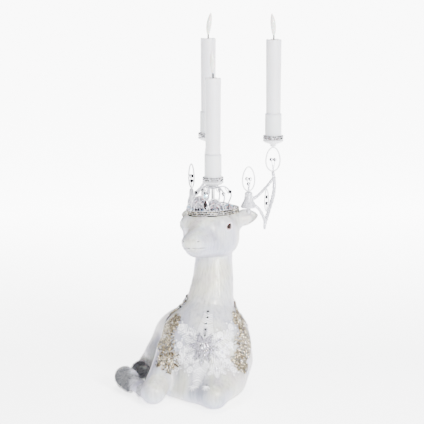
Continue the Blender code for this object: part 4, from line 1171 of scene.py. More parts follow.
def crown_cage():
    """White wire ribs bowed out under the centre cup, with a set stone at the bend of each."""
    b = Builder()
    for radius, z in ((0.0215, CAGE_FOOT), (0.0058, CAGE_TOP)):
        ring = [(radius * math.cos(t), radius * math.sin(t), z) for t in np.linspace(0, 2 * math.pi, 49)[:-1]]
        tube(b, ring, 0.0012, "white_glitter", 8, closed=True)
    for i in range(RIBS):
        turn = Matrix.Rotation(2 * math.pi * (i + 0.5) / RIBS + HEAD_YAW, 3, "Z")
        path = smooth_path([turn @ Vector((r, 0, z)) for r, z in CAGE_SIDE], 8)
        tube(b, path, 0.00105, "white_glitter", 8)
        out = turn @ Vector((1, 0, 0))
        heart = turn @ Vector((0.0242, 0, CAGE_TOP - 0.0065))
        # Each bend's jewel: a black bead with a light stone on either face, the light stone a painted
        # highlight in its middle
        bead(b, heart, 0.0025, "stone_jet", 12)
        for way in (1, -1):
            gem(b, heart + out * way * 0.0019, out * way, 0.0020, ["stone_mid", "stone_light"],
                table="stone_light")
        scroll = []
        for k in range(15):
            t = k / 14
            swing = 0.0030 * math.sin(math.pi * t)
            scroll.append(turn @ Vector((
                0.0168 + 0.0055 * t, swing * (1 if i % 2 else -1), CAGE_TOP - 0.0010 - 0.0090 * t)))
        tube(b, scroll, 0.0006, "white_metal", 6)
    b.object("crown_wire_cage", smooth=50, replaces=["crown_cage"])


# ---------------------------------------------------------------- antlers

ANTLER_POST = (
    (0.66, 0.2240, 0.0010), (0.68, 0.2330, 0.0020), (0.84, 0.2500, 0.0023),
    (1.03, 0.2720, 0.0022), (1.06, 0.2900, 0.0021), (1.00, POST_TOP, 0.0018),
)
ANTLER_UPPER = (
    (0.03, 0.2740, 0.0022), (0.34, 0.2760, 0.0017), (0.70, 0.2850, 0.0016), (1.03, 0.2960, 0.0017),
)
ANTLER_LOWER = (
    (0.00, 0.2660, 0.0022), (0.22, 0.2640, 0.0019), (0.47, 0.2540, 0.0017), (0.69, 0.2345, 0.0018),
)
BELL = (
    (0, 0.2860), (0.0034, 0.2862), (0.0050, 0.2852), (0.0056, 0.2800), (0.0062, 0.2760),
    (0.0072, 0.2728), (0.0088, 0.2705), (0.0096, 0.2682), (0.0106, 0.2664), (0.0110, 0.2644),
    (0.0104, 0.2636), (0.0030, 0.2634), (0.0030, 0.2430), (0, 0.2430),
)


def along_antler(side, share, z):
    sideways = ANTLER_ROOT[0] + (SIDE_CUP[0] - ANTLER_ROOT[0]) * share
    backwards = ANTLER_ROOT[1] + (SIDE_CUP[1] - ANTLER_ROOT[1]) * share
    return antler_point(side, sideways, backwards, z)


def twig(b, side, stations):
    """A glitter-crusted bar with small knots, like bark."""
    path = smooth_path([along_antler(side, share, z) for share, z, _ in stations], 12)
    count = len(path)
    base = np.interp(np.linspace(0, 1, count), np.linspace(0, 1, len(stations)), [r for *_, r in stations])
    radii = [1.2 * r * (1 + 0.10 * math.sin(i * 1.7) + rng.uniform(-0.07, 0.09)) for i, r in enumerate(base)]
    tube(b, path, radii, "white_glitter", 12)
    for i in [k for k in range(2, count - 2) for _ in range(4)]:
        along = (path[i + 1] - path[i - 1]).normalized()
        out = along.orthogonal().normalized()
        out.rotate(Matrix.Rotation(rng.uniform(0, 6.28), 3, along))
        look = rng.choice(("stone_light", "stone_mid", "stone_lilac", "white_glitter", "thread"))
        size = rng.uniform(0.0005, 0.0010)
        gem(b, path[i] + out * radii[i] * 0.95, out, size, [look, "stone_light"], sides=5)
    return path, radii


def antler(side, word):
    b = Builder()
    foot = antler_point(side, *ANTLER_ROOT, 0)
    slim = 1.0 if side > 0 else 0.55
    lathe(b, [(r * slim if z > 0.2632 else r, z) for r, z in BELL], "white_glitter", foot, 40)
    for _ in range(230):
        share = rng.random()
        z = 0.2648 + 0.0200 * share
        radius = slim * np.interp(z, [z for _, z in BELL[9:0:-1]], [r for r, _ in BELL[9:0:-1]])
        turn = rng.uniform(0, 2 * math.pi)
        out = Vector((math.cos(turn), math.sin(turn), 0.25)).normalized()
        spot = foot + Vector((radius * math.cos(turn), radius * math.sin(turn), z))
        gem(b, spot, out, rng.uniform(0.0004, 0.0009),
            rng.choice((["stone_light", "stone_mid"], ["thread", "stone_light"],
                        ["stone_lilac", "stone_light"])),
            sides=5)
    for stations in (ANTLER_POST, ANTLER_UPPER, ANTLER_LOWER):
        twig(b, side, stations)
    b.object(f"antler_glitter_{word}", smooth=50, replaces=[f"antler_{word}"])


LOOP_JEWELS = ((-0.30, 0.02), (0.28, -0.02), (-0.02, -0.42))


def oval_loop(name, node, middle, direction, half_width, half_height, radius, jewels):
    """A white wire oval with stones hung in it from a fine inner wire."""
    b = Builder()
    path = []
    for k in range(48):
        turn = 2 * math.pi * k / 48
        across = half_width * math.cos(turn) * (1 - 0.12 * math.sin(turn))
        path.append(middle + direction * across + Vector((0, 0, half_height * math.sin(turn))))
    tube(b, path, radius, "white_metal", 10, closed=True)
    facing = direction.cross(Vector((0, 0, 1)))
    if facing.y > 0:
        facing = -facing
    foot = middle - Vector((0, 0, half_height))
    for across, high in jewels:
        spot = middle + direction * across * half_width + Vector((0, 0, high * half_height))
        stem = smooth_path([foot, foot + (spot - foot) * 0.5 + direction * 0.0006, spot], 5)
        tube(b, stem, 0.00042, "white_glitter", 6)
        # Each hung jewel: a black bead with a light stone on either face, the light stone a painted highlight
        # in its middle
        bead(b, spot, 0.0026, "stone_jet", 12)
        for way in (1, -1):
            gem(b, spot + facing * way * 0.0020, facing * way, 0.0021, ["stone_mid", "stone_light"],
                table="stone_light")
    for k in range(9):
        share = k / 8
        spot = foot + Vector((0, 0, 0.0008 + 0.0075 * share)) + direction * rng.uniform(-0.0011, 0.0011)
        gem(b, spot + facing * 0.0004, facing, rng.uniform(0.0007, 0.0011),
            rng.choice((["stone_lilac", "stone_light"], ["stone_mid", "stone_light"],
                        ["stone_dark", "stone_lilac"])))
    b.object(name, smooth=45, replaces=[node])


def antler_loops(side, word):
    yaw = head_matrix(rolled=False).to_3x3()
    across = yaw @ Vector((side * math.cos(LOOP_TURN), math.sin(LOOP_TURN), 0))
    along = yaw @ Vector((side * 0.11, 0.99, 0)).normalized()
    low, high = POST_TOP + GAP, SIDE_CUP_Z - CUP_DEPTH - GAP
    radius = 0.0010
    top = antler_point(side, *SIDE_CUP, (low + high) / 2)
    oval_loop(f"cup_loop_{word}", f"top_loop_{word}", top, across, 0.0112, (high - low) / 2 - radius,
              radius, ((-0.26, -0.02), (0.24, -0.04)))
    short = antler_point(side, *ANTLER_ROOT, 0.2860 + GAP + 0.0172 + radius)
    oval_loop(f"root_loop_{word}", f"short_loop_{word}", short, across, 0.0092, 0.0172, radius, LOOP_JEWELS)
    hanging = along_antler(side, 0.74, 0.2660)
    oval_loop(f"post_loop_{word}", f"hanging_loop_{word}", hanging, along, 0.0060, 0.0160, 0.0009,
              ((0.0, 0.30), (0.0, -0.30)))


# ---------------------------------------------------------------- cups and candles

CUP_PROFILE = (
    (0, -GAP), (0.0138, -GAP), (0.0146, -0.0006), (0.0151, -0.0013), (0.0150, -0.0019),
    (0.0138, -0.0032), (0.0125, -0.0045), (0.0100, -0.0055), (0.0072, -0.0064), (0.0060, -0.0070),
    (0.0044, -0.0078), (0.0037, -0.0086), (0.0044, -0.0092), (0.0044, -0.0097), (0.0036, -0.0101),
    (0.0036, -CUP_DEPTH), (0, -CUP_DEPTH),
)
RING_PALETTES = (
    ["stone_jet", "stone_dark", "stone_mid"], ["stone_dark", "stone_light", "stone_jet"],
    ["stone_jet", "stone_wine", "stone_dark"], ["stone_mid", "stone_light", "stone_lilac"],
)


def cup(word, middle):
    b = Builder()
    lathe(b, CUP_PROFILE, "white_metal", middle, 64)
    for k in range(26):
        turn = 2 * math.pi * k / 26
        out = Vector((math.cos(turn), math.sin(turn), -0.35)).normalized()
        spot = middle + Vector((0.0146 * math.cos(turn), 0.0146 * math.sin(turn), -0.0023))
        bead(b, spot - out * 0.0004, 0.0009, "white_glitter", 8)
    b.object(f"saucer_{word}", smooth=40, replaces=[f"cup_{word}"])

    b = Builder()
    band = [(BAND_OUTER - 0.0009, BAND_HEIGHT - 0.0008), (BAND_OUTER - 0.0009, 0.0002),
            (BAND_INNER, 0.0002), (BAND_INNER, BAND_HEIGHT - 0.0008)]
    lathe(b, band, "bezel", middle, 64, closed=True)
    for row in range(2):
        for k in range(34):
            turn = 2 * math.pi * (k + 0.5 * row) / 34
            out = Vector((math.cos(turn), math.sin(turn), 0))
            spot = middle + out * (BAND_OUTER - 0.0008) + Vector((0, 0, 0.0018 + 0.0027 * row))
            palettes = RING_PALETTES[:3] if word != "centre" or row else RING_PALETTES
            gem(b, spot, out, 0.00138, rng.choice(palettes))
    b.object(f"cup_stone_ring_{word}", smooth=0, replaces=[f"cup_stones_{word}"])


def sleeve(word, middle):
    """The moulded collar that takes the candle, with its rolled seam at the top."""
    b = Builder()
    outer, inner, high = SLEEVE_OUTER, SLEEVE_INNER, SLEEVE_HEIGHT
    profile = [(inner, 0.0), (outer - 0.0002, 0.0), (outer, 0.0008)]
    profile += [
        (outer + 0.00006 * math.sin(i * 2.1), 0.0008 + (high - 0.0042) * i / 22) for i in range(1, 22)
    ]
    profile += [(outer - 0.0001, high - 0.0030), (outer, high - 0.0022), (outer, high - 0.0012)]
    lathe(b, profile + [(inner, high - 0.0012)], "wax_cup", middle, 72, closed=True)
    seam = [(inner + 0.0001, high - 0.00115), (outer - 0.00035, high - 0.00115),
            (outer - 0.00010, high - 0.0008),
            (outer - 0.00010, high - 0.0003), (outer - 0.0004, high), (inner + 0.0001, high)]
    lathe(b, seam, "seam", middle, 72, closed=True)
    b.object(f"candle_collar_{word}", smooth=35, replaces=[f"sleeve_{word}"])


def rounded(radius_low, radius_high, low, high, waves, seed):
    """An outline with the slight waviness of dipped wax."""
    noise = random.Random(seed)
    steps = 26
    drift = [noise.uniform(-1, 1) for _ in range(6)]
    found = []
    for i in range(steps + 1):
        t = i / steps
        wave = sum(d * math.sin((k + 1.3) * 2.1 * t + k) for k, d in enumerate(drift)) * waves / 3
        found.append((radius_low + (radius_high - radius_low) * t + wave, low + (high - low) * t))
    return found


def candle(word, middle, seed):
    inner = CANDLE_RADIUS_FOOT - CANDLE_WALL
    foot = CAP_HEIGHT + GAP
    rim = 0.0016
    outside = rounded(CANDLE_RADIUS_FOOT, CANDLE_RADIUS_TOP - 0.0001, foot, CANDLE_TOP - rim, 0.00014, seed)
    top = [
        (CANDLE_RADIUS_TOP - 0.0001, CANDLE_TOP - 0.0010), (CANDLE_RADIUS_TOP - 0.0005, CANDLE_TOP - 0.0003),
        (CANDLE_RADIUS_TOP - 0.0012, CANDLE_TOP), (CANDLE_RADIUS_TOP - 0.0022, CANDLE_TOP - 0.0001),
        (CANDLE_RADIUS_TOP - 0.0034, CANDLE_TOP - 0.0007), (CANDLE_RADIUS_TOP - 0.0056, CANDLE_TOP - 0.0011),
        (LENS_HOLE + 0.0004, CANDLE_TOP - 0.0010), (LENS_HOLE, CANDLE_TOP - 0.0012),
        (LENS_HOLE, CANDLE_TOP - 0.0030), (inner, CANDLE_TOP - 0.0030), (inner, foot),
    ]
    b = Builder()
    lathe(b, outside + top, "wax", middle, 72, closed=True)
    for i, p in enumerate(b.points):
        high = (p.z - middle.z) / CANDLE_TOP
        turn = math.atan2(p.y - middle.y, p.x - middle.x)
        if high > 0.93:
            lift = 0.00035 * math.sin(3 * turn + seed) + 0.00025 * math.sin(7 * turn + 2 * seed)
            p.z += lift * (high - 0.93) / 0.07 - 0.0003 * (high - 0.93) / 0.07
    b.object(f"candle_wax_{word}", f"candle_{word}", 40, [f"candle_shell_{word}"])

    b = Builder()
    tip, root = CANDLE_TOP + WICK_HEIGHT, CANDLE_TOP - 0.0030
    for strand in range(3):
        path = []
        for k in range(25):
            t = k / 24
            turn = strand * 2 * math.pi / 3 + 5.5 * t
            across = Vector((0.00048 * math.cos(turn), 0.00048 * math.sin(turn), root + (tip - root) * t))
            path.append(middle + across)
        tube(b, path, 0.00078, "wick", 8)
    b.object(f"wick_cord_{word}", f"candle_{word}", 50, [f"wick_{word}"])

    lean = LEAN[word]
    points = []
    rings, sides = 26, 20
    for i in range(rings + 1):
        t = i / rings
        reach = lean * t**1.5
        radius = FLAME_RADIUS * (0.35 + 1.86 * t) * (1 - t) ** 0.85 * 0.94 + 0.00025
        heart = middle + Vector((reach, 0.3 * reach, tip + GAP + (FLAME_HEIGHT - 0.0002) * t))
        for k in range(sides):
            turn = 2 * math.pi * k / sides
            crease = 1 + 0.035 * math.cos(3 * turn + seed) * math.sin(math.pi * t)
            points.append(heart + Vector((math.cos(turn), 0.86 * math.sin(turn), 0)) * radius * crease)
    faces = quads(rings, sides)
    faces += [tuple(reversed(range(sides))), tuple(range(rings * sides, (rings + 1) * sides))]
    b = Builder()
    b.add(points, faces, "flame")
    b.object(f"flame_blade_{word}", f"candle_{word}", 60, [f"flame_{word}"])


# ---------------------------------------------------------------- collar

STEP = 0.0015  # stride along the skin


def walk(spot, heading, length):
    """Stations (place, normal, heading) of a line that keeps to the skin."""
    place, _ = on_skin(spot)
    normal = smooth_normal(place)
    forward = (heading - normal * heading.dot(normal)).normalized()
    count = max(2, round(length / STEP))
    stations = [(place, normal, forward)]
    for _ in range(count):
        place, here = on_skin(place + forward * (length / count))
        normal = (2 * normal + here).normalized()
        forward = (forward - normal * forward.dot(normal)).normalized()
        stations.append((place, normal, forward))
    return stations


def stroke(b, stations, width, look, lift=0.0004, taper=0.45):
    """A raised cord of paint or wire along the stations."""
    count = len(stations)
    path = [p + n * (lift + width * 0.25) for p, n, _ in stations]
    radii = [width * (1 - (1 - taper) * i / (count - 1)) for i in range(count)]
    tube(b, path, radii, look, 6, flat=0.75, normals=[n for _, n, _ in stations])


def stones_along(b, stations, radius, spacing, palettes, lift=0.0008, start=1):
    every = max(1, round(spacing / STEP))
    for p, n, _ in stations[start::every]:
        tilt = Vector((rng.uniform(-0.2, 0.2), rng.uniform(-0.2, 0.2), rng.uniform(-0.2, 0.2)))
        gem(b, p + n * lift, n + tilt, radius * rng.uniform(0.85, 1.1), rng.choice(palettes), sides=6)


def turned_heading(normal, heading, degrees):
    out = Vector(heading)
    out.rotate(Matrix.Rotation(math.radians(degrees), 3, normal))
    return out


STYLES = {
    "white": {
        "look": "thread", "width": 0.00098, "stone": 0.00095, "spacing": 4.5e-3, "branch": 60,
        "stones": (["stone_light", "stone_lilac"], ["stone_light", "stone_mid"]),
        "heart": ["stone_lilac", "stone_light", "stone_mid"],
    },
    "silver": {
        "look": "silver_glitter", "width": 0.00075, "stone": 0.00100, "spacing": 2.4e-3, "branch": 42,
        "lift": 0.0011,
        "stones": (["stone_mid", "stone_light"], ["stone_lilac", "stone_dark"], ["stone_mid", "stone_dark"]),
        "heart": ["stone_dark", "stone_lilac", "stone_light"],
    },
    "gold": {
        "look": "gold_glitter", "width": 0.00100, "stone": 0.00140, "spacing": 2.1e-3, "branch": 55,
        "stones": (["gold_bead", "gold_light"], ["stone_jet", "stone_champagne"],
                   ["gold_bead", "stone_brown"], ["stone_brown", "stone_jet"],
                   ["stone_champagne", "stone_brown"], ["stone_dark", "gold_bead"]),
        "heart": ["stone_champagne", "gold_light", "stone_brown"],
    },
}


def arm(b, middle, heading, length, style, pairs, branch_length):
    """One arm with its side branches in pairs."""
    look, width, lift = style["look"], style["width"], style.get("lift", 0.0004)
    stations = walk(middle, heading, length)
    stroke(b, stations, width, look, lift)
    stones_along(b, stations, style["stone"], style["spacing"], style["stones"], lift + 0.0004)
    count = len(stations) - 1
    for k in range(pairs):
        share = 0.26 + 0.66 * k / max(1, pairs - 1)
        p, n, f = stations[min(count, round(share * count))]
        reach = branch_length * (1 - 0.50 * k / max(1, pairs - 1))
        for side in (1, -1):
            branch = walk(p, turned_heading(n, f, side * style["branch"]), reach)
            stroke(b, branch, width * 0.82, look, lift)
            if style["spacing"] < 0.004:
                stones_along(b, branch, style["stone"] * 0.85, style["spacing"], style["stones"],
                             lift + 0.0004, 2)
            tip, normal, _ = branch[-1]
            gem(b, tip + normal * (lift + 0.0003), normal, style["stone"] * 0.8,
                rng.choice(style["stones"]), sides=6)
    return stations


def flake(b, spot, radius, kind, turn):
    """A six-armed snowflake laid on the skin, with a set stone at its heart."""
    style = STYLES[kind]
    place, _ = on_skin(spot)
    normal = smooth_normal(place)
    upward = frame_of(normal)[1]
    for k in range(6):
        arm(b, place, turned_heading(normal, upward, 60 * k + turn), radius, style, 4, radius * 0.42)
    for k in range(12):
        heading = turned_heading(normal, upward, 30 * k)
        p, n, _ = walk(place, heading, radius * 0.20)[-1]
        gem(b, p + n * 0.0008, n, style["stone"], rng.choice(style["stones"]), sides=6)
    jewel(b, place + normal * 0.0014, normal, 0.0019 if radius > 0.015 else 0.0015, style["heart"])
    return place, normal, upward


# STAR, UP_JEWELS, WHITE_FLAKES, GOLD_FLAKES, LACE, LACE_FEET and CORD hold places that come from the
# photo. Spots picked in it were projected onto the casting by a scratch program, and part of its output
# was copied here. The others were set beside such projected spots. None is worked out from the frame.
STAR = (-0.0132, -0.0761, 0.0810)
STAR_REACH = 0.050
STAR_TILT = -6.0
UP_JEWELS = (
    (-0.0070, -0.0542, 0.1257), (-0.0077, -0.0603, 0.1185), (-0.0097, -0.0657, 0.1112),
    (-0.0104, -0.0705, 0.1038), (-0.0111, -0.0734, 0.0967),
)


def chest_star():
    """The great star on the chest: white arms with chevrons, a silver heart and dark stones."""
    b = Builder()
    place, _ = on_skin(STAR)
    normal = smooth_normal(place)
    upward = frame_of(normal)[1]
    white = STYLES["white"]
    for k in range(6):
        heading = turned_heading(normal, upward, 60 * k + STAR_TILT)
        arm(b, place, heading, STAR_REACH * (1.22 if k == 3 else 1.0), white, 16 if k == 3 else 11, 0.0145)
        for offset in (-2.6, 2.6):
            begin = walk(place, turned_heading(normal, upward, 60 * k + STAR_TILT + offset * 2.5), 0.012)[-1]
            line = walk(begin[0], heading, STAR_REACH * 0.52)
            stroke(b, line, 0.00055, "thread")
    for spot in UP_JEWELS:
        p, n = on_skin(spot)
        jewel(b, p + n * 0.0014, n, 0.0017, ["stone_jet", "stone_dark"])
    b.object("chest_star_arms", smooth=45, replaces=["flake_chest_upper"])

    b = Builder()
    silver = STYLES["silver"]
    for k in range(12):
        heading = turned_heading(normal, upward, 30 * k + STAR_TILT)
        arm(b, place, heading, 0.0270 if k % 2 == 0 else 0.0215, silver, 7, 0.0062)
    for k in range(12):
        p, n, _ = walk(place, turned_heading(normal, upward, 30 * k), 0.0056)[-1]
        jewel(b, p + n * 0.0014, n, 0.00105, ["stone_jet", "stone_dark", "stone_wine"])
    for spot in ((0.0, -0.0115), (-0.0035, 0.0025)):
        across = frame_of(normal)[0]
        p, n = on_skin(place + across * spot[0] + upward * spot[1])
        jewel(b, p + n * 0.0016, n, 0.0013, ["stone_jet", "stone_dark"])
    jewel(b, place + normal * 0.0018, normal, 0.0022, ["stone_mid", "stone_dark", "stone_light"])
    b.object("chest_star_heart", smooth=45, replaces=["flake_chest_silver"])


# Middle (from the photo, see STAR), radius, turn and the solid that each one replaces
WHITE_FLAKES = {
    "chest_flake_right": ((-0.0362, -0.0697, 0.0637), 0.0150, 10, "flake_chest_right"),
    "chest_flake_left": ((0.0125, -0.0735, 0.0733), 0.0120, 20, "flake_chest_left"),
    "chest_flake_lower": ((0.0050, -0.0890, 0.0525), 0.0145, 0, "flake_chest_lower"),
    "shoulder_flake_right": ((-0.074, 0.000, 0.088), 0.0190, 15, "flake_shoulder_right"),
    "shoulder_flake_left": ((0.052, -0.004, 0.088), 0.0190, 40, "flake_shoulder_left"),
    "withers_flake": ((-0.018, 0.062, 0.118), 0.0220, 0, "flake_withers"),
}
# Middles (from the photo, see STAR), radii and turns, and the solid that each group replaces
GOLD_FLAKES = {
    "gold_flake_right": (
        (((-0.0640, -0.0360, 0.0860), 0.0240, 12), ((-0.0610, -0.0560, 0.0560), 0.0190, 0),
         ((-0.0560, -0.0390, 0.1060), 0.0145, 25)),
        "flake_gold_right",
    ),
    "gold_flake_left": (
        (((0.0430, -0.0450, 0.0800), 0.0220, 8), ((0.0380, -0.0640, 0.0560), 0.0160, 0),
         ((0.0350, -0.0340, 0.1080), 0.0150, 20)),
        "flake_gold_left",
    ),
}
# From the photo, see STAR
LACE = (
    (-0.0320, -0.0679, 0.0961), (0.0097, -0.0708, 0.0968), (-0.0460, -0.0622, 0.0804),
    (0.0237, -0.0669, 0.0816), (0.0208, -0.0750, 0.0594), (-0.0319, -0.0819, 0.0498),
    (-0.0518, -0.0592, 0.0581), (-0.0430, -0.0560, 0.1040), (0.0240, -0.0560, 0.1040),
    (-0.0500, -0.0660, 0.0480), (0.0270, -0.0800, 0.0480),
)


def white_flakes():
    for name, (spot, radius, turn, node) in WHITE_FLAKES.items():
        b = Builder()
        flake(b, spot, radius, "white", turn)
        b.object(name, smooth=45, replaces=[node])


def gold_flakes():
    for name, (spots, node) in GOLD_FLAKES.items():
        b = Builder()
        for spot, radius, turn in spots:
            place, normal, upward = flake(b, spot, radius, "gold", turn)
            for _ in range(round(radius * 7000)):
                turn_by, reach = rng.uniform(0, 360), radius * math.sqrt(rng.random()) * 1.02
                p, n, _ = walk(place, turned_heading(normal, upward, turn_by), max(reach, 0.003))[-1]
                if rng.random() < 0.5:
                    bead(b, p + n * 0.0006, rng.uniform(0.0007, 0.0013),
                         rng.choice(("gold_bead", "gold_light", "stone_brown", "gold_bead")))
                else:
                    gem(b, p + n * 0.0007, n, rng.uniform(0.0009, 0.0015),
                        rng.choice(STYLES["gold"]["stones"]), 6)
        b.object(name, smooth=45, replaces=[node])

LACE_FEET = {-1: (-0.0276, -0.0946, 0.0305), 1: (-0.0082, -0.112, 0.0353)}  # from the photo, see STAR


def lace():
    """Small sprigs that fill the collar between the flakes."""
    b = Builder()
    for i, spot in enumerate(LACE):
        place, _ = on_skin(spot)
        normal = smooth_normal(place)
        upward = frame_of(normal)[1]
        for k in range(5):
            heading = turned_heading(normal, upward, 72 * k + 23 * i)
            arm(b, place, heading, 0.0085, STYLES["white"], 2, 0.0038)
    for side, count in ((-1, 5), (1, 5)):
        place, _ = on_skin(LACE_FEET[side])
        normal = smooth_normal(place)
        upward = frame_of(normal)[1]
        for k in range(count):
            line = walk(place, turned_heading(normal, upward, 180 + (k - 2) * 34), 0.0080)
            stroke(b, line, 0.0008, "thread")
        jewel(b, place + normal * 0.0012, normal, 0.0014, ["stone_mid", "stone_dark", "stone_light"])
    b.object("collar_lace", smooth=45)


# From the photo, see STAR
CORD = (
    (-0.0800, 0.0420, 0.0700), (-0.0790, 0.0240, 0.0850), (-0.0700, 0.0060, 0.1010),
    (-0.0560, -0.0090, 0.1160), (-0.0396, -0.0230, 0.1316), (-0.0330, 0.0060, 0.1360),
    (-0.0150, 0.0340, 0.1330), (0.0080, 0.0330, 0.1300),
    (0.0280, 0.0080, 0.1290), (0.0330, -0.0200, 0.1230), (0.0420, -0.0160, 0.1080),
    (0.0520, 0.0060, 0.0900), (0.0500, 0.0300, 0.0740),
)


def beaded_cord():
    """Two strings of beads side by side that edge the collar over the shoulders."""
    b = Builder()
    line = smooth_path(CORD, 14)
    for offset in (-0.0028, 0.0, 0.0028):
        path, normals = [], []
        for before, here, after in zip(line, line[1:], line[2:]):
            place, normal = on_skin(here)
            side = (after - before).normalized().cross(normal)
            place, normal = on_skin(here + side * offset)
            path.append(place + normal * 0.0008)
            normals.append(normal)
        tube(b, path, 0.00045, "silver_glitter", 6)
        travelled, last = 0.0, path[0]
        for p, n in zip(path, normals):
            travelled += (p - last).length
            last = p
            if travelled > 0.0023:
                travelled = 0.0
                look = rng.choice(("gold_bead", "gold_light", "stone_mid", "stone_brown", "stone_dark"))
                if rng.random() < 0.25:
                    gem(b, p + n * 0.0008, n, 0.0018, rng.choice(STYLES["gold"]["stones"]), 8)
                else:
                    bead(b, p + n * 0.0006, 0.00150, look, 8)
        for p, n in list(zip(path, normals))[4::11]:
            jewel(b, p + n * 0.0016, n, 0.0019, ["stone_jet", "stone_dark", "stone_brown"])
    b.object("collar_bead_cord", smooth=45)


# ---------------------------------------------------------------- feet and tail


def fibres(b, spot, spread, count, length, looks, lean, keep_low=BASE_Z + 0.0008):
    """Short fur: curved pointed strands that grow from the skin round a spot."""
    low_box = CAD_BOX[0] + Vector((0.0004, 0.0004, 0.0))
    high_box = CAD_BOX[1] - Vector((0.0004, 0.0004, 0.0))
    for _ in range(count):
        offset = Vector([rng.gauss(0, s * 0.5) for s in spread])
        root, normal = on_skin(Vector(spot) + offset)
        if root.z < keep_low:
            continue
        heading = (normal * rng.uniform(0.5, 1.0) + Vector(lean) + Vector(
            [rng.uniform(-0.25, 0.25) for _ in range(3)])).normalized()
        reach = length * rng.uniform(0.6, 1.15)
        bend = Vector(lean) * reach * 0.45 - Vector((0, 0, reach * 0.18))
        width = rng.uniform(0.00022, 0.00042)
        side = heading.cross(normal)
        if side.length < 1e-3:
            side = heading.orthogonal()
        side.normalize()
        other = heading.cross(side).normalized()
        points = []
        for t, w in ((-0.12, 1.0), (0.45, 0.8), (0.80, 0.5)):
            heart = root + heading * reach * t + bend * max(t, 0) ** 2
            for turn in (0, 2.094, 4.189):
                points.append(heart + (side * math.cos(turn) + other * math.sin(turn)) * width * w)
        points.append(root + heading * reach + bend)
        for p in points:
            p.x = min(max(p.x, low_box.x), high_box.x)
            p.y = min(max(p.y, low_box.y), high_box.y)
            p.z = max(p.z, keep_low - 0.0004)
        b.add(points, quads(2, 3) + [(6, 7, 9), (7, 8, 9), (8, 6, 9), (2, 1, 0)], rng.choice(looks))


GREY = ("grey_fur", "grey_fur", "dark_fur")
DARK = ("dark_fur", "dark_fur", "grey_fur")
PALE = ("white_fur", "white_fur", "grey_fur")
# Fur patches of each piece: middle, spread, strands, length, looks, lean. The middles were set
# beside spots of the photo projected onto the casting.
FUR = {
    "fur_front_right": (
        ((-0.1290, -0.0150, 0.0250), (0.010, 0.010, 0.010), 2200, 0.0050, GREY, (-0.5, -0.3, -0.3)),
        ((-0.1190, -0.0230, 0.0180), (0.010, 0.010, 0.010), 1500, 0.0050, GREY, (-0.3, -0.4, -0.5)),
        ((-0.1110, -0.0320, 0.0220), (0.007, 0.010, 0.007), 700, 0.0050, PALE, (-0.2, -0.5, -0.5)),
        ((-0.1040, 0.0120, 0.0200), (0.013, 0.014, 0.009), 1500, 0.0050, DARK, (-0.2, -0.4, -0.3)),
        ((-0.1000, -0.0700, 0.0200), (0.008, 0.010, 0.007), 350, 0.0042, PALE, (-0.1, -0.3, -0.7)),
    ),
    "fur_hind_right": (
        ((-0.1060, 0.0380, 0.0190), (0.012, 0.016, 0.010), 1700, 0.0048, DARK, (-0.3, -0.6, -0.3)),
        ((-0.1030, 0.0660, 0.0170), (0.009, 0.010, 0.008), 500, 0.0048, PALE, (-0.3, -0.6, -0.3)),
    ),
    "fur_hind_left": (
        ((0.0370, 0.0600, 0.0160), (0.009, 0.012, 0.008), 600, 0.0045, GREY, (0.3, -0.6, -0.3)),
    ),
    "tail_tuft": (
        ((-0.0690, 0.1820, 0.0480), (0.007, 0.010, 0.010), 700, 0.0080, PALE, (-0.2, 0.7, -0.7)),
    ),
}


def feet():
    few = 1
    for name, patches in FUR.items():
        b = Builder()
        for spot, spread, count, *rest in patches:
            fibres(b, spot, spread, count // few, *rest)
        b.object(name, smooth=60)


# ---------------------------------------------------------------- carried-over solids


def finish_solids():
    """Finishes for the solids that are shown as they are."""
    looks = {
        "base_felt": "felt", "stem_rod": "steel", "lamp_holder": "plastic", "battery_lower": "battery",
        "battery_upper": "battery", "battery_cap": "plastic",
    }
    for name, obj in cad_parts.items():
        for prefix, look in looks.items():
            if name.startswith(prefix):
                obj.data.materials.clear()
                obj.data.materials.append(LOOKS[look])


# ---------------------------------------------------------------- stage


def floor():
    """A wide pale floor that glows softly behind the object."""
    n = Nodes("paper_floor")
    colour = n.ramp(n.noise(3, 2), [(0.3, grey(0.93)), (0.7, grey(0.95))])
    split = n.add("ShaderNodeSeparateXYZ", Vector=n.where)
    glow = n.shares(split.outputs[1], 0.2, 1.6, 3.2, 9.0)
    n.set(Base_Color=colour, Roughness=0.9, Emission_Color=(1, 1, 1, 1), Emission_Strength=glow)
    mesh = bpy.data.meshes.new("floor")
    corners = [(80 * x, 80 * y, 0.0) for x, y in ((-1, -1), (1, -1), (1, 1), (-1, 1))]
    mesh.from_pydata(corners, [], [(0, 1, 2, 3)])
    mesh.materials.append(n.material)
    obj = bpy.data.objects.new("floor", mesh)
    bpy.context.scene.collection.objects.link(obj)


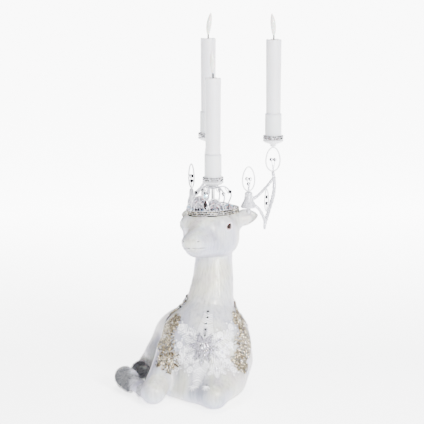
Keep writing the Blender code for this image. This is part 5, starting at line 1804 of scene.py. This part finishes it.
def soft_light(name, place, aim, size, watts, colour=(1, 1, 1)):
    light = bpy.data.lights.new(name, "AREA")
    light.shape = "DISK"
    light.size, light.energy, light.color = size, watts, colour
    obj = bpy.data.objects.new(name, light)
    obj.location = place
    obj.rotation_euler = (Vector(aim) - Vector(place)).to_track_quat("-Z", "Y").to_euler()
    bpy.context.scene.collection.objects.link(obj)


def studio():
    world = bpy.data.worlds.new("studio")
    world.use_nodes = True
    backdrop = world.node_tree.nodes["Background"]
    backdrop.inputs["Color"].default_value = (0.96, 0.97, 1.0, 1)
    backdrop.inputs["Strength"].default_value = 0.6
    bpy.context.scene.world = world
    soft_light("key", (1.1, -2.1, 1.0), (0, 0, 0.2), 0.8, 200)
    soft_light("fill", (-1.7, -1.2, 1.1), (0, 0, 0.2), 1.4, 10)
    soft_light("top", (0.1, 0.1, 2.4), (0, 0, 0.2), 1.6, 90)
    soft_light("back", (0.9, 1.4, 1.5), (0, 0, 0.3), 0.9, 20)


CAMERA_PLACE, CAMERA_PITCH, CAMERA_LENS = (-0.0014, -2.1, 0.591), math.radians(9), 127.36


def camera():
    data = bpy.data.cameras.new("camera")
    data.sensor_width = 36
    data.lens = CAMERA_LENS
    data.clip_start, data.clip_end = 0.05, 300
    obj = bpy.data.objects.new("camera", data)
    obj.location = CAMERA_PLACE
    obj.rotation_euler = (math.pi / 2 - CAMERA_PITCH, 0, 0)
    bpy.context.scene.collection.objects.link(obj)
    bpy.context.scene.camera = obj


camera()
studio()
floor()
eyes()
ears()
crown_band()
tiara()
tiara_gems()
crown_cage()
places = {"centre": Vector((0, 0, CENTRE_CUP_Z))}
for side, word in ((1, "left"), (-1, "right")):
    places[word] = antler_point(side, *SIDE_CUP, SIDE_CUP_Z)
    antler(side, word)
    antler_loops(side, word)
for seed, (word, middle) in enumerate(places.items()):
    cup(word, middle)
    sleeve(word, middle)
    candle(word, middle, seed + 3)
chest_star()
white_flakes()
gold_flakes()
lace()
beaded_cord()
feet()
finish_solids()
